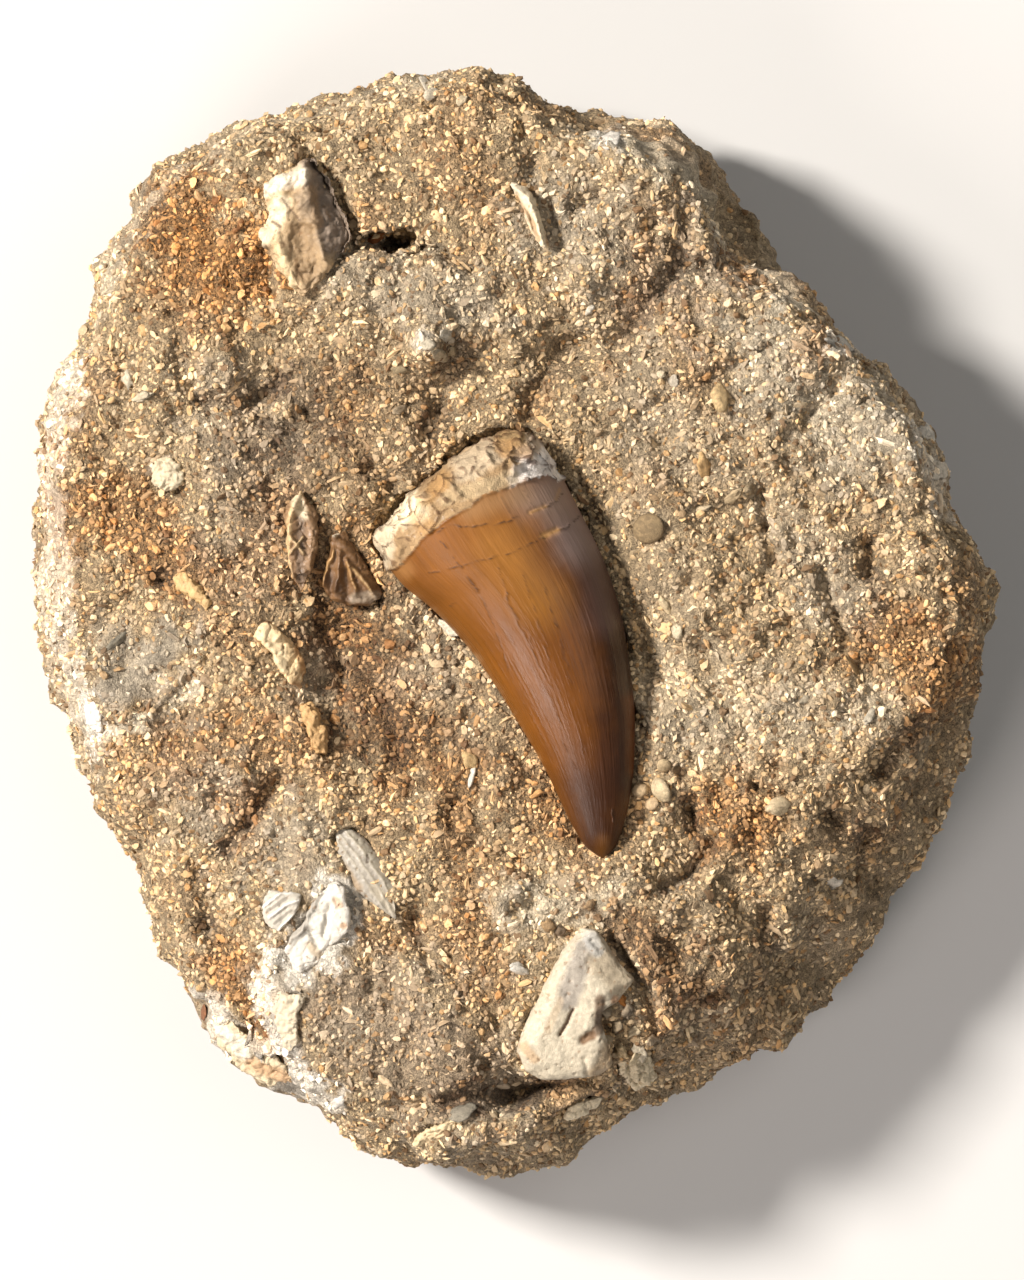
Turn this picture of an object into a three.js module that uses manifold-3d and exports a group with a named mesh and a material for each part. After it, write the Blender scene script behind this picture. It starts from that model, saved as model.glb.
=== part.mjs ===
// A fossil mosasaur tooth in its block of phosphate rock, lying on the block's flat underside.
// Millimetres. The tooth's face looks up: X runs across the block, Y along it, Z out of that face.
// Places in X and Y are measured from the middle of the block, and Z from the flat underside.

import * as THREE from "three";
import { mergeVertices } from "three/addons/utils/BufferGeometryUtils.js";
import { ImprovedNoise } from "three/addons/math/ImprovedNoise.js";
import Module from "manifold-3d";

const wasm = await Module();
wasm.setup();

// Driving dimensions of the block
const blockWidth = 107;
const blockLength = 123;
const faceTop = 31;
const faceFall = 3;
const blockDetail = 13;

// Driving dimensions of the tooth
const toothRise = 0.84;
const toothSunk = 0.62;
const toothLift = 0.9;
const toothSides = 22;
const toothRows = 24;
const trackSteps = 40;

// Room between two pieces that touch, and how near two points are before they are one
const pocketGap = 0.3;
const mergeDistance = 1e-3;
const nearNothing = 1e-6;

// How the block's own surface is shared out, as angles down from its highest point
const faceAngle = THREE.MathUtils.degToRad(102);
const waistAngle = THREE.MathUtils.degToRad(131);
const restAngle = THREE.MathUtils.degToRad(150);
const undersideCurve = THREE.MathUtils.degToRad(72);

// The block seen from above, counter-clockwise from the top
const outlinePoints = [
  [-1.0, 61.3], [-7.6, 61.2], [-15.8, 59.5], [-20.5, 57.4], [-27.2, 56.3], [-36.4, 51.8],
  [-41.7, 47.0], [-44.7, 40.9], [-47.6, 33.5], [-50.0, 26.5], [-52.5, 20.6], [-53.5, 14.5],
  [-52.6, 7.5], [-52.2, -3.6], [-49.6, -12.2], [-45.9, -18.7], [-42.0, -26.9], [-39.6, -33.9],
  [-38.9, -37.5], [-34.6, -42.0], [-33.5, -46.5], [-30.8, -50.2], [-23.0, -54.2], [-17.3, -58.7],
  [-10.7, -61.6], [-1.0, -61.4], [7.3, -60.2], [14.4, -55.9], [25.6, -50.5], [32.9, -45.5],
  [41.4, -35.0], [48.0, -24.0], [50.9, -13.8], [52.9, -3.6], [53.5, 2.5], [52.3, 8.0],
  [49.2, 12.9], [47.9, 18.9], [43.0, 25.5], [34.4, 34.6], [32.3, 39.0], [28.4, 43.0],
  [23.4, 50.8], [19.0, 54.7], [10.0, 56.2], [4.6, 57.4], [1.2, 60.3],
];

// The block's edge by bearing: how far in it starts, its waist's height, how round it is
// (1 round, 2 a straight chamfer) and how far the underside tucks in below the waist
const rim = [
  { bearing: 0, inset: 4, waist: 16, round: 1.0, tuck: 8 },
  { bearing: 20, inset: 4, waist: 18, round: 1.0, tuck: 8 },
  { bearing: 45, inset: 3, waist: 15, round: 1.2, tuck: 8 },
  { bearing: 60, inset: 8, waist: 12, round: 1.9, tuck: 6 },
  { bearing: 75, inset: 6, waist: 13, round: 1.7, tuck: 6 },
  { bearing: 90, inset: 4, waist: 15, round: 1.0, tuck: 8 },
  { bearing: 120, inset: 5, waist: 15, round: 1.0, tuck: 9 },
  { bearing: 150, inset: 7, waist: 15, round: 1.0, tuck: 9 },
  { bearing: 180, inset: 8, waist: 15, round: 1.0, tuck: 9 },
  { bearing: 210, inset: 6, waist: 14, round: 1.0, tuck: 8 },
  { bearing: 235, inset: 5, waist: 13, round: 1.2, tuck: 7 },
  { bearing: 250, inset: 5, waist: 13, round: 1.3, tuck: 7 },
  { bearing: 270, inset: 5, waist: 12, round: 1.6, tuck: 7 },
  { bearing: 290, inset: 9, waist: 9, round: 1.8, tuck: 5 },
  { bearing: 310, inset: 11, waist: 8, round: 1.7, tuck: 5 },
  { bearing: 330, inset: 11, waist: 9, round: 1.5, tuck: 5 },
  { bearing: 345, inset: 8, waist: 12, round: 1.3, tuck: 6 },
  { bearing: 360, inset: 4, waist: 16, round: 1.0, tuck: 8 },
];

// Broad swells and hollows of the face: middle, half sizes, turn from X in degrees and rise
const swells = [
  { at: [-12.0, -0.3], size: [20.9, 8.2], turn: 90, rise: -2.2 },
  { at: [-19.1, -3.6], size: [8.2, 3.1], turn: 80, rise: -1.8 },
  { at: [8.9, 31.0], size: [14.3, 4.6], turn: 28, rise: -2.0 },
  { at: [17.2, 42.0], size: [4.4, 3.3], turn: 0, rise: -1.2 },
  { at: [13.1, 6.3], size: [14.3, 2.8], turn: 108, rise: -1.6 },
  { at: [-7.6, 19.5], size: [7.7, 2.4], turn: 30, rise: -1.0 },
  { at: [32.0, 6.3], size: [20.9, 25.3], turn: 0, rise: 1.6, steep: 2 },
  { at: [41.9, -29.5], size: [20.9, 10.4], turn: 38, rise: -4.0, steep: 2 },
  { at: [41.4, -16.8], size: [3.9, 1.9], turn: 38, rise: -2.5 },
  { at: [19.4, -25.4], size: [4.2, 2.6], turn: 60, rise: -2.2 },
  { at: [27.3, -35.0], size: [3.5, 2.4], turn: 80, rise: -1.6 },
  { at: [33.3, -32.8], size: [2.9, 2.0], turn: 0, rise: -1.4 },
  { at: [39.5, 7.2], size: [2.4, 2.0], turn: 0, rise: -2.2 },
  { at: [35.5, 1.3], size: [4.6, 1.8], turn: -75, rise: -1.6 },
  { at: [41.0, 15.1], size: [2.2, 1.8], turn: 0, rise: -1.4 },
  { at: [47.4, 6.3], size: [5.0, 6.6], turn: 0, rise: 1.0 },
  { at: [39.7, -9.7], size: [5.0, 1.8], turn: -15, rise: 1.2 },
  { at: [12.2, 51.4], size: [8.2, 2.9], turn: 15, rise: 1.4 },
  { at: [23.0, 44.2], size: [2.9, 2.4], turn: 0, rise: 1.6 },
  { at: [21.6, 38.0], size: [5.5, 1.8], turn: -5, rise: -1.8 },
  { at: [-35.6, 42.0], size: [7.2, 6.6], turn: 0, rise: -0.8 },
  { at: [-22.4, 43.1], size: [5.3, 8.8], turn: 10, rise: 1.5 },
  { at: [-10.9, 36.0], size: [9.9, 4.6], turn: 0, rise: 1.3, steep: 3 },
  { at: [-7.9, 29.9], size: [3.3, 3.1], turn: 0, rise: 2.0, steep: 1.5 },
  { at: [-27.6, 38.4], size: [2.6, 1.8], turn: 100, rise: -2.2 },
  { at: [-26.5, 24.8], size: [3.1, 1.7], turn: 0, rise: -1.5 },
  { at: [-27.9, -4.7], size: [12.7, 4.2], turn: -52, rise: 1.6 },
  { at: [-28.3, -19.9], size: [4.2, 1.7], turn: 25, rise: -1.8 },
  { at: [-31.2, -16.8], size: [4.4, 2.9], turn: 0, rise: 1.6 },
  { at: [-30.9, -40.5], size: [8.2, 3.5], turn: -65, rise: -2.4 },
  { at: [-20.8, -33.9], size: [5.0, 5.0], turn: 0, rise: 1.4 },
  { at: [-9.8, -43.2], size: [12.1, 8.8], turn: 0, rise: 1.2 },
  { at: [8.4, -42.7], size: [6.6, 8.8], turn: -30, rise: 1.2 },
  { at: [5.1, -52.2], size: [9.3, 1.8], turn: 5, rise: -2.6, steep: 1.5 },
  { at: [-1.0, -57.5], size: [12.1, 2.4], turn: 0, rise: 0.8 },
  { at: [7.8, -30.0], size: [5.5, 3.1], turn: 20, rise: 1.0 },
  { at: [23.2, -24.0], size: [5.0, 3.3], turn: 0, rise: 1.0 },
];

// Uneven ground over the whole block: size of the bumps and their height
const faceBumps = [[9, 0.9], [4.5, 0.5]];
const sideBumps = [[17, 4.4], [7, 2.0], [3.5, 0.7]];
const shoulderShare = 0.5;
const waistWander = [[15, 4.5]];
const wanderReach = 50;
const noiseStart = [31.7, 12.3, 5.1];

// The deep slot in the rock beside the jaw bone
const slot = { at: [-13.3, 41.4], size: [3.6, 1.3, 4.5], turn: 5, sides: 10, rows: 8 };

// The rock lies lower and even round the tooth, out to the second of these distances
const seatDrop = 1.6;
const seatEdge = [0.5, 4];

// The tooth seen from above, as pairs of points on its hollow-curved and its round-curved edge,
// from the broken root end to the tip
const toothRibs = [
  [[-13.9, 11.9], [1.2, 22.9]],
  [[-14.9, 8.7], [4.8, 17.4]],
  [[-12.1, 4.2], [7.9, 11.6]],
  [[-8.5, 1.1], [10.5, 6.2]],
  [[-4.5, -3.1], [12.3, 0.4]],
  [[-1.8, -7.0], [13.2, -4.6]],
  [[1.1, -11.6], [13.8, -10.0]],
  [[3.2, -15.1], [13.8, -14.5]],
  [[5.3, -19.3], [13.4, -18.9]],
  [[7.0, -22.8], [12.6, -22.6]],
  [[8.4, -25.0], [11.7, -25.0]],
  [[10.1, -26.3], [10.5, -26.3]],
];
const rootShare = 0.16;
const rootLump = { rise: 0.45, along: 2, around: 4 };

// The root's end is rounded over this share of the length
const rootBluntness = 0.07;
const rootRounding = 2.5;

// Fossil pieces caught in the rock, each as its outline seen from above, its rise over the face,
// its depth below it and its colour
const cream = 0xdcc7a2;
const chalk = 0xe6ddcf;
const brown = 0xa57b4d;
const shellGrey = 0xb9aa92;
const rockColour = 0xb59c74;
const enamelColour = 0xa0602a;
const rockRoughness = 0.95;
const boneRoughness = 0.8;
const enamelRoughness = 0.25;
const fragmentReach = 2;
const fragmentRoundness = 0.7;
const steepestLie = 0.7;
const stepsPerPoint = 12;
const fragments = [
  { name: "bone_wedge", colour: cream, rise: 2.6, depth: 3.2, detail: 3, outline: [
    [8.4, -33.8], [9.8, -34.4], [11.3, -36.9], [14.2, -40.8], [12.4, -42.0], [10.4, -43.5],
    [10.2, -45.4], [11.4, -47.4], [11.0, -49.8], [6.9, -50.8], [3.2, -50.7], [1.1, -49.0],
    [1.0, -46.5], [2.9, -42.5], [5.6, -37.2]] },
  { name: "jaw_bone", colour: cream, rise: 2.4, depth: 3.0, detail: 3, outline: [
    [-22.4, 51.4], [-20.6, 49.0], [-18.6, 45.3], [-17.3, 41.7], [-18.8, 39.4], [-20.8, 36.6],
    [-22.8, 35.0], [-24.6, 37.4], [-26.3, 40.1], [-27.4, 41.9], [-26.1, 44.1], [-27.2, 47.0],
    [-24.8, 49.0], [-23.2, 49.6]] },
  { name: "rib_splinter", colour: cream, rise: 1.3, depth: 1.4, detail: 1, outline: [
    [-0.7, 48.0], [0.6, 48.0], [2.4, 47.0], [3.2, 45.0], [4.0, 42.5], [4.6, 40.6], [3.4, 40.1],
    [2.3, 42.0], [1.8, 44.0], [1.0, 45.9], [-0.4, 46.9]] },
  { name: "brown_blade", colour: brown, rise: 1.6, depth: 1.8, detail: 1, outline: [
    [-22.8, 14.1], [-21.2, 11.6], [-20.9, 9.0], [-21.4, 5.6], [-22.4, 3.2], [-23.4, 2.0],
    [-24.1, 5.0], [-24.6, 9.3], [-24.8, 12.0]] },
  { name: "brown_shard", colour: brown, rise: 1.3, depth: 1.8, detail: 1, outline: [
    [-19.3, 10.7], [-17.8, 9.3], [-15.9, 6.0], [-13.6, 1.6], [-16.8, 1.1], [-19.6, 1.9],
    [-20.5, 3.2], [-19.9, 6.3]] },
  { name: "bone_knuckle_upper", colour: cream, rise: 0.9, depth: 1.2, detail: 1, outline: [
    [-36.6, 5.6], [-35.1, 4.8], [-34.2, 3.5], [-33.0, 2.3], [-32.3, 0.7], [-33.4, 0.7],
    [-35.1, 2.3], [-36.6, 3.0]] },
  { name: "bone_knuckle_middle", colour: cream, rise: 1.3, depth: 1.6, detail: 1, outline: [
    [-26.5, -0.3], [-25.0, -1.4], [-23.4, -3.2], [-22.3, -5.6], [-22.6, -7.8], [-24.1, -7.8],
    [-25.4, -5.6], [-26.5, -3.6], [-27.9, -2.5], [-28.1, -1.6]] },
  { name: "bone_knuckle_lower", colour: cream, rise: 1.0, depth: 1.3, detail: 1, outline: [
    [-22.6, -9.0], [-21.2, -9.5], [-20.6, -11.6], [-19.7, -13.8], [-20.4, -15.9], [-21.7, -14.8],
    [-22.3, -12.4], [-23.0, -10.6]] },
  { name: "striped_shell", colour: shellGrey, rise: 0.9, depth: 1.4, detail: 1, outline: [
    [-19.5, -21.7], [-17.3, -23.0], [-14.6, -25.9], [-12.8, -29.1], [-11.8, -31.8],
    [-12.3, -33.4], [-14.6, -32.0], [-17.3, -29.4], [-18.9, -25.9], [-19.7, -23.4]] },
  { name: "chalky_shell", colour: chalk, rise: 0.8, depth: 1.4, detail: 1, outline: [
    [-19.4, -27.8], [-17.6, -31.4], [-17.5, -35.0], [-19.9, -36.4], [-22.6, -39.9],
    [-23.9, -38.6], [-24.8, -35.8], [-23.0, -33.9], [-21.0, -30.4]] },
  { name: "shell_flake", colour: chalk, rise: 0.9, depth: 1.0, detail: 1, outline: [
    [-26.3, -29.8], [-24.9, -30.2], [-22.8, -30.2], [-23.1, -32.0], [-24.6, -34.0],
    [-25.8, -34.7], [-27.1, -33.0], [-27.0, -31.2]] },
  { name: "shell_lip", colour: chalk, rise: 0.8, depth: 1.2, detail: 1, outline: [
    [-23.2, -41.2], [-22.0, -42.4], [-23.4, -44.0], [-22.8, -46.3], [-23.5, -48.4],
    [-24.8, -47.1], [-25.6, -44.3], [-25.8, -42.4], [-24.8, -41.4]] },
  { name: "rim_bone", colour: cream, rise: 0.9, depth: 2.2, detail: 1, outline: [
    [-33.3, -43.6], [-31.6, -43.9], [-28.9, -46.1], [-26.5, -47.4], [-24.2, -49.6],
    [-23.6, -51.4], [-24.6, -52.0], [-27.8, -51.4], [-30.0, -49.8], [-32.0, -47.6],
    [-33.0, -45.4]] },
  { name: "crumbling_bone", colour: cream, rise: 1.1, depth: 1.6, detail: 1, outline: [
    [12.6, -46.6], [14.4, -47.2], [15.7, -49.0], [15.9, -51.2], [14.8, -52.4], [13.3, -51.8],
    [12.2, -50.6], [12.3, -48.4]] },
  { name: "low_splinter", colour: cream, rise: 1.0, depth: 1.2, detail: 1, outline: [
    [6.3, -54.3], [8.2, -53.4], [10.2, -52.5], [10.7, -53.4], [8.7, -54.9], [6.7, -55.6],
    [5.6, -55.1]] },
  { name: "edge_splinter", colour: cream, rise: 0.8, depth: 1.6, detail: 1, outline: [
    [-11.1, -57.8], [-9.2, -56.4], [-7.2, -55.7], [-5.2, -54.6], [-4.5, -55.3], [-6.9, -57.0],
    [-9.3, -58.1], [-10.4, -58.4]] },
  { name: "white_chip", colour: chalk, rise: 0.7, depth: 1.2, detail: 1, outline: [
    [-46.1, -8.9], [-45.3, -9.8], [-44.8, -11.6], [-45.1, -12.9], [-46.2, -12.4],
    [-46.9, -10.7]] },
  { name: "pale_knob", colour: cream, rise: 0.8, depth: 1.2, detail: 1, outline: [
    [-38.4, 17.7], [-36.6, 17.1], [-35.8, 15.7], [-36.4, 14.0], [-37.7, 13.8], [-39.3, 14.8],
    [-39.3, 16.4]] },
];

const noise = new ImprovedNoise();

function bumpsAt(x, y, z, layers) {
  const [startX, startY, startZ] = noiseStart;
  let height = 0;
  for (const [size, rise] of layers) {
    height += rise * noise.noise(x / size + startX, y / size + startY, z / size + startZ);
  }
  return height;
}

// Radius by bearing of a closed outline around its own middle
function outlineRadius(points, middle) {
  const curve = new THREE.CatmullRomCurve3(
    points.map(([x, y]) => new THREE.Vector3(x - middle[0], y - middle[1], 0)), true, "centripetal");
  const steps = points.length * stepsPerPoint;
  const table = [];
  for (let step = 0; step < steps; step += 1) {
    const spot = curve.getPoint(step / steps);
    table.push([Math.atan2(spot.y, spot.x), Math.hypot(spot.x, spot.y)]);
  }
  table.sort((one, other) => one[0] - other[0]);
  const turn = 2 * Math.PI;
  const first = table[0];
  const last = table[table.length - 1];
  table.unshift([last[0] - turn, last[1]]);
  table.push([first[0] + turn, first[1]]);
  return (bearing) => {
    const next = table.findIndex(([angle]) => angle >= bearing);
    const [lowAngle, lowRadius] = table[Math.max(next - 1, 0)];
    const [highAngle, highRadius] = table[Math.max(next, 0)];
    const share = (bearing - lowAngle) / Math.max(highAngle - lowAngle, nearNothing);
    return THREE.MathUtils.lerp(lowRadius, highRadius, THREE.MathUtils.clamp(share, 0, 1));
  };
}

// The drawn outline brought to the block's own width and length
function fitted(points, width, length) {
  const drawn = new THREE.Box2().setFromPoints(points.map(([x, y]) => new THREE.Vector2(x, y)));
  const size = drawn.getSize(new THREE.Vector2());
  return points.map(([x, y]) => [x * width / size.x, y * length / size.y]);
}

const blockRadius = outlineRadius(fitted(outlinePoints, blockWidth, blockLength), [0, 0]);

function rimAt(bearing) {
  const degrees = (THREE.MathUtils.radToDeg(bearing) + 360) % 360;
  const next = rim.findIndex((row, index) => index > 0 && row.bearing >= degrees);
  const low = rim[next - 1];
  const high = rim[next];
  const share = (degrees - low.bearing) / (high.bearing - low.bearing);
  const mix = (key) => THREE.MathUtils.lerp(low[key], high[key], share);
  const alongX = wanderReach * Math.cos(bearing);
  const alongY = wanderReach * Math.sin(bearing);
  const wander = bumpsAt(alongX, alongY, 0, waistWander);
  return {
    inset: mix("inset"),
    waist: mix("waist") + wander,
    round: mix("round"),
    tuck: mix("tuck"),
  };
}

function swellAt(x, y, { at, size, turn, rise, steep = 1 }) {
  const angle = THREE.MathUtils.degToRad(turn);
  const along = ((x - at[0]) * Math.cos(angle) + (y - at[1]) * Math.sin(angle)) / size[0];
  const across = ((y - at[1]) * Math.cos(angle) - (x - at[0]) * Math.sin(angle)) / size[1];
  return rise * Math.exp(-((along * along + across * across) ** steep));
}

// The tooth's two edges as curves that share their stations
const toothEdges = [0, 1].map((side) => new THREE.CatmullRomCurve3(
  toothRibs.map((rib) => new THREE.Vector3(rib[side][0], rib[side][1], 0)), false, "centripetal"));

function toothStation(share) {
  const left = toothEdges[0].getPoint(share);
  const right = toothEdges[1].getPoint(share);
  const middle = left.clone().add(right).multiplyScalar(0.5);
  const across = right.clone().sub(left);
  const halfWidth = across.length() / 2;
  return { middle, across: across.normalize(), halfWidth };
}

const toothTrack = Array.from(
  { length: trackSteps + 1 }, (_, step) => toothStation(step / trackSteps));

// The rock is low and even where the tooth lies in it
function seatAt(x, y) {
  let nearest = Infinity;
  for (const { middle, halfWidth } of toothTrack) {
    nearest = Math.min(nearest, Math.hypot(x - middle.x, y - middle.y) - halfWidth);
  }
  return 1 - THREE.MathUtils.smoothstep(nearest, ...seatEdge);
}

const seatLevel = faceTop - seatDrop;

// Height of the rock's face
function faceHeight(x, y) {
  const radius = blockRadius(Math.atan2(y, x));
  const spread = Math.min(Math.hypot(x, y) / radius, 1);
  let height = faceTop - faceFall * spread * spread;
  for (const swell of swells) {
    height += swellAt(x, y, swell);
  }
  height += bumpsAt(x, y, 0, faceBumps);
  return THREE.MathUtils.lerp(height, seatLevel, seatAt(x, y));
}

// Every solid starts as a ball whose points are moved into place
function bend(geometry, place) {
  geometry.deleteAttribute("normal");
  geometry.deleteAttribute("uv");
  const points = geometry.attributes.position;
  const point = new THREE.Vector3();
  for (let index = 0; index < points.count; index += 1) {
    point.fromBufferAttribute(points, index).normalize();
    const moved = place(point);
    points.setXYZ(index, moved.x, moved.y, moved.z);
  }
  return mergeVertices(geometry, mergeDistance);
}

function solidOf(geometry) {
  const mesh = new wasm.Mesh({
    numProp: 3,
    vertProperties: new Float32Array(geometry.attributes.position.array),
    triVerts: new Uint32Array(geometry.index.array),
  });
  return new wasm.Manifold(mesh);
}

function geometryOf(solid) {
  const mesh = solid.getMesh();
  const geometry = new THREE.BufferGeometry();
  geometry.setAttribute("position", new THREE.BufferAttribute(new Float32Array(mesh.vertProperties), 3));
  geometry.setIndex(new THREE.BufferAttribute(new Uint32Array(mesh.triVerts), 1));
  return geometry;
}

// Face of the block: the ball's cap, spread evenly up to where the edge starts
function placeOnFace(bearing, down, edge) {
  const share = Math.sin(down / 2) / Math.sin(faceAngle / 2);
  const radius = (blockRadius(bearing) - edge.inset) * share;
  const x = radius * Math.cos(bearing);
  const y = radius * Math.sin(bearing);
  return new THREE.Vector3(x, y, faceHeight(x, y));
}

// From the face's edge down to the waist
function placeOnShoulder(bearing, down, edge) {
  const turn = ((down - faceAngle) / (waistAngle - faceAngle)) * Math.PI / 2;
  const start = placeOnFace(bearing, faceAngle, edge);
  const radius = blockRadius(bearing) - edge.inset + edge.inset * Math.sin(turn) ** edge.round;
  const height = edge.waist + (start.z - edge.waist) * Math.cos(turn) ** edge.round;
  return new THREE.Vector3(radius * Math.cos(bearing), radius * Math.sin(bearing), height);
}

// From the waist down to the flat underside
function placeBelowWaist(bearing, down, edge) {
  const share = (down - waistAngle) / (restAngle - waistAngle);
  const turn = undersideCurve * share;
  const inward = edge.tuck * (1 - Math.cos(turn)) / (1 - Math.cos(undersideCurve));
  const radius = blockRadius(bearing) - inward;
  const height = edge.waist * (1 - Math.sin(turn) / Math.sin(undersideCurve));
  return new THREE.Vector3(radius * Math.cos(bearing), radius * Math.sin(bearing), height);
}

function placeUnderneath(bearing, down, edge) {
  const share = Math.sin((Math.PI - down) / 2) / Math.sin((Math.PI - restAngle) / 2);
  const radius = (blockRadius(bearing) - edge.tuck) * share;
  return new THREE.Vector3(radius * Math.cos(bearing), radius * Math.sin(bearing), 0);
}

function placeOnBlock(point) {
  const bearing = Math.atan2(point.y, point.x);
  const down = Math.acos(point.z);
  const edge = rimAt(bearing);
  if (down <= faceAngle) {
    return placeOnFace(bearing, down, edge);
  }
  if (down >= restAngle) {
    return placeUnderneath(bearing, down, edge);
  }
  const spot = down < waistAngle
    ? placeOnShoulder(bearing, down, edge)
    : placeBelowWaist(bearing, down, edge);
  return roughen(spot, bearing, down);
}

// Lumps on the sides, none past the waist's radius, so that the block keeps its outline
function roughen(spot, bearing, down) {
  const above = down < waistAngle;
  const share = above
    ? (down - faceAngle) / (waistAngle - faceAngle)
    : (down - waistAngle) / (restAngle - waistAngle);
  const strength = Math.sin(Math.PI * share) * (above ? shoulderShare : 1);
  const room = blockRadius(bearing) - Math.hypot(spot.x, spot.y);
  const push = Math.min(bumpsAt(spot.x, spot.y, spot.z, sideBumps) * strength, room);
  spot.x += push * Math.cos(bearing);
  spot.y += push * Math.sin(bearing);
  return spot;
}

function makeBlock() {
  return bend(new THREE.IcosahedronGeometry(1, blockDetail), placeOnBlock);
}

function rootLumpAt(middle, side, up) {
  const { rise, along, around } = rootLump;
  return rise * noise.noise(middle.x + side * around, middle.y / along, up * around);
}

// Tooth: crown and root grew as one. The ball's Y axis runs from the tip up to the root end.
function makeTooth(grow) {
  const ball = new THREE.SphereGeometry(1, toothSides, toothRows);
  return bend(ball, (point) => {
    const share = (1 - point.y) / 2;
    const { middle, across, halfWidth } = toothStation(share);
    const blunt = Math.max(1 - share / rootBluntness, 0);
    const fullness = (1 - blunt ** rootRounding) ** (1 / rootRounding);
    const ring = Math.hypot(point.x, point.z);
    const isPole = ring < nearNothing;
    const side = isPole ? 0 : point.x / ring;
    const up = isPole ? 0 : point.z / ring;
    const lump = share < rootShare ? rootLumpAt(middle, side, up) : 0;
    const reach = isPole ? 0 : (halfWidth + lump) * fullness + grow;
    const tall = up > 0 ? toothRise : toothSunk;
    const rootward = new THREE.Vector3(-across.y, across.x, 0);
    const spot = middle.clone().addScaledVector(across, side * reach);
    spot.addScaledVector(rootward, grow * point.y);
    spot.z = seatLevel + toothLift + up * reach * tall;
    return spot;
  });
}

function middleOf(points) {
  const sum = points.reduce((total, [x, y]) => [total[0] + x, total[1] + y], [0, 0]);
  return [sum[0] / points.length, sum[1] / points.length];
}

// The same outline moved outwards all round
function widened(points, grow) {
  const area = points.reduce((sum, [x, y], index) => {
    const [nextX, nextY] = points[(index + 1) % points.length];
    return sum + x * nextY - nextX * y;
  }, 0);
  return points.map(([x, y], index) => {
    const before = points[(index + points.length - 1) % points.length];
    const after = points[(index + 1) % points.length];
    const outward = new THREE.Vector2(after[1] - before[1], before[0] - after[0]);
    outward.setLength(grow * Math.sign(area));
    return [x + outward.x, y + outward.y];
  });
}

// Height of the rock at any place, its sloping edge included
function rockHeight(x, y) {
  const bearing = Math.atan2(y, x);
  const edge = rimAt(bearing);
  const edgeStart = blockRadius(bearing) - edge.inset;
  const past = (Math.hypot(x, y) - edgeStart) / edge.inset;
  if (past <= 0) {
    return faceHeight(x, y);
  }
  const turn = Math.asin(Math.min(past, 1) ** (1 / edge.round));
  const start = faceHeight(edgeStart * Math.cos(bearing), edgeStart * Math.sin(bearing));
  return edge.waist + (start - edge.waist) * Math.cos(turn) ** edge.round;
}

// The rock around a fragment as one sloping plane
function groundUnder(middle, reach) {
  const levels = [[1, 0], [-1, 0], [0, 1], [0, -1]].map(
    ([x, y]) => rockHeight(middle[0] + x * reach, middle[1] + y * reach));
  const steepest = (slope) => THREE.MathUtils.clamp(slope, -steepestLie, steepestLie);
  const slopeX = steepest((levels[0] - levels[1]) / (2 * reach));
  const slopeY = steepest((levels[2] - levels[3]) / (2 * reach));
  const level = levels.reduce((sum, one) => sum + one, 0) / levels.length;
  return (x, y) => level + slopeX * (x - middle[0]) + slopeY * (y - middle[1]);
}

// A fragment lies along the ground, with a low crown and steep edges
function makeFragment({ outline, rise, depth, detail }, grow) {
  const middle = middleOf(outline);
  const radiusAt = outlineRadius(widened(outline, grow), middle);
  const ground = groundUnder(middle, fragmentReach);
  return bend(new THREE.IcosahedronGeometry(1, detail), (point) => {
    const bearing = Math.atan2(point.y, point.x);
    const radius = radiusAt(bearing) * Math.hypot(point.x, point.y) ** fragmentRoundness;
    const x = middle[0] + radius * Math.cos(bearing);
    const y = middle[1] + radius * Math.sin(bearing);
    const crown = (rise + grow) * Math.max(point.z, 0) ** fragmentRoundness;
    const offset = point.z > 0 ? crown : (depth + grow) * point.z;
    return new THREE.Vector3(x, y, ground(x, y) + offset);
  });
}

function makeSlot() {
  const geometry = new THREE.SphereGeometry(1, slot.sides, slot.rows);
  geometry.deleteAttribute("normal");
  geometry.deleteAttribute("uv");
  geometry.scale(...slot.size);
  geometry.rotateZ(THREE.MathUtils.degToRad(slot.turn));
  geometry.translate(slot.at[0], slot.at[1], faceHeight(...slot.at));
  return mergeVertices(geometry, mergeDistance);
}

function makeMatrix() {
  let rock = solidOf(makeBlock());
  rock = rock.subtract(solidOf(makeTooth(pocketGap)));
  for (const fragment of fragments) {
    rock = rock.subtract(solidOf(makeFragment(fragment, pocketGap)));
  }
  rock = rock.subtract(solidOf(makeSlot()));
  return geometryOf(rock);
}

function addPiece(name, geometry, colour, roughness) {
  const material = new THREE.MeshStandardMaterial({ color: colour, roughness, metalness: 0 });
  const mesh = new THREE.Mesh(geometry, material);
  mesh.name = name;
  specimen.add(mesh);
  return mesh;
}

const specimen = new THREE.Group();
addPiece("matrix", makeMatrix(), rockColour, rockRoughness);
addPiece("tooth", makeTooth(0), enamelColour, enamelRoughness);
for (const fragment of fragments) {
  addPiece(fragment.name, makeFragment(fragment, 0), fragment.colour, boneRoughness);
}

// The origin is under the middle of the whole specimen, on the surface that it rests on
const box = new THREE.Box3().setFromObject(specimen);
specimen.position.set(-(box.min.x + box.max.x) / 2, -(box.min.y + box.max.y) / 2, -box.min.z);
specimen.updateMatrixWorld(true);

export default specimen;
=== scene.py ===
# A fossil mosasaur tooth in its block of phosphate rock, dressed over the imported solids.
# Places are in millimetres as seen from above, in the solids' own frame.
import math

import bmesh
import bpy
import numpy as np
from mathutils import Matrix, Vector
from mathutils.bvhtree import BVHTree


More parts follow.
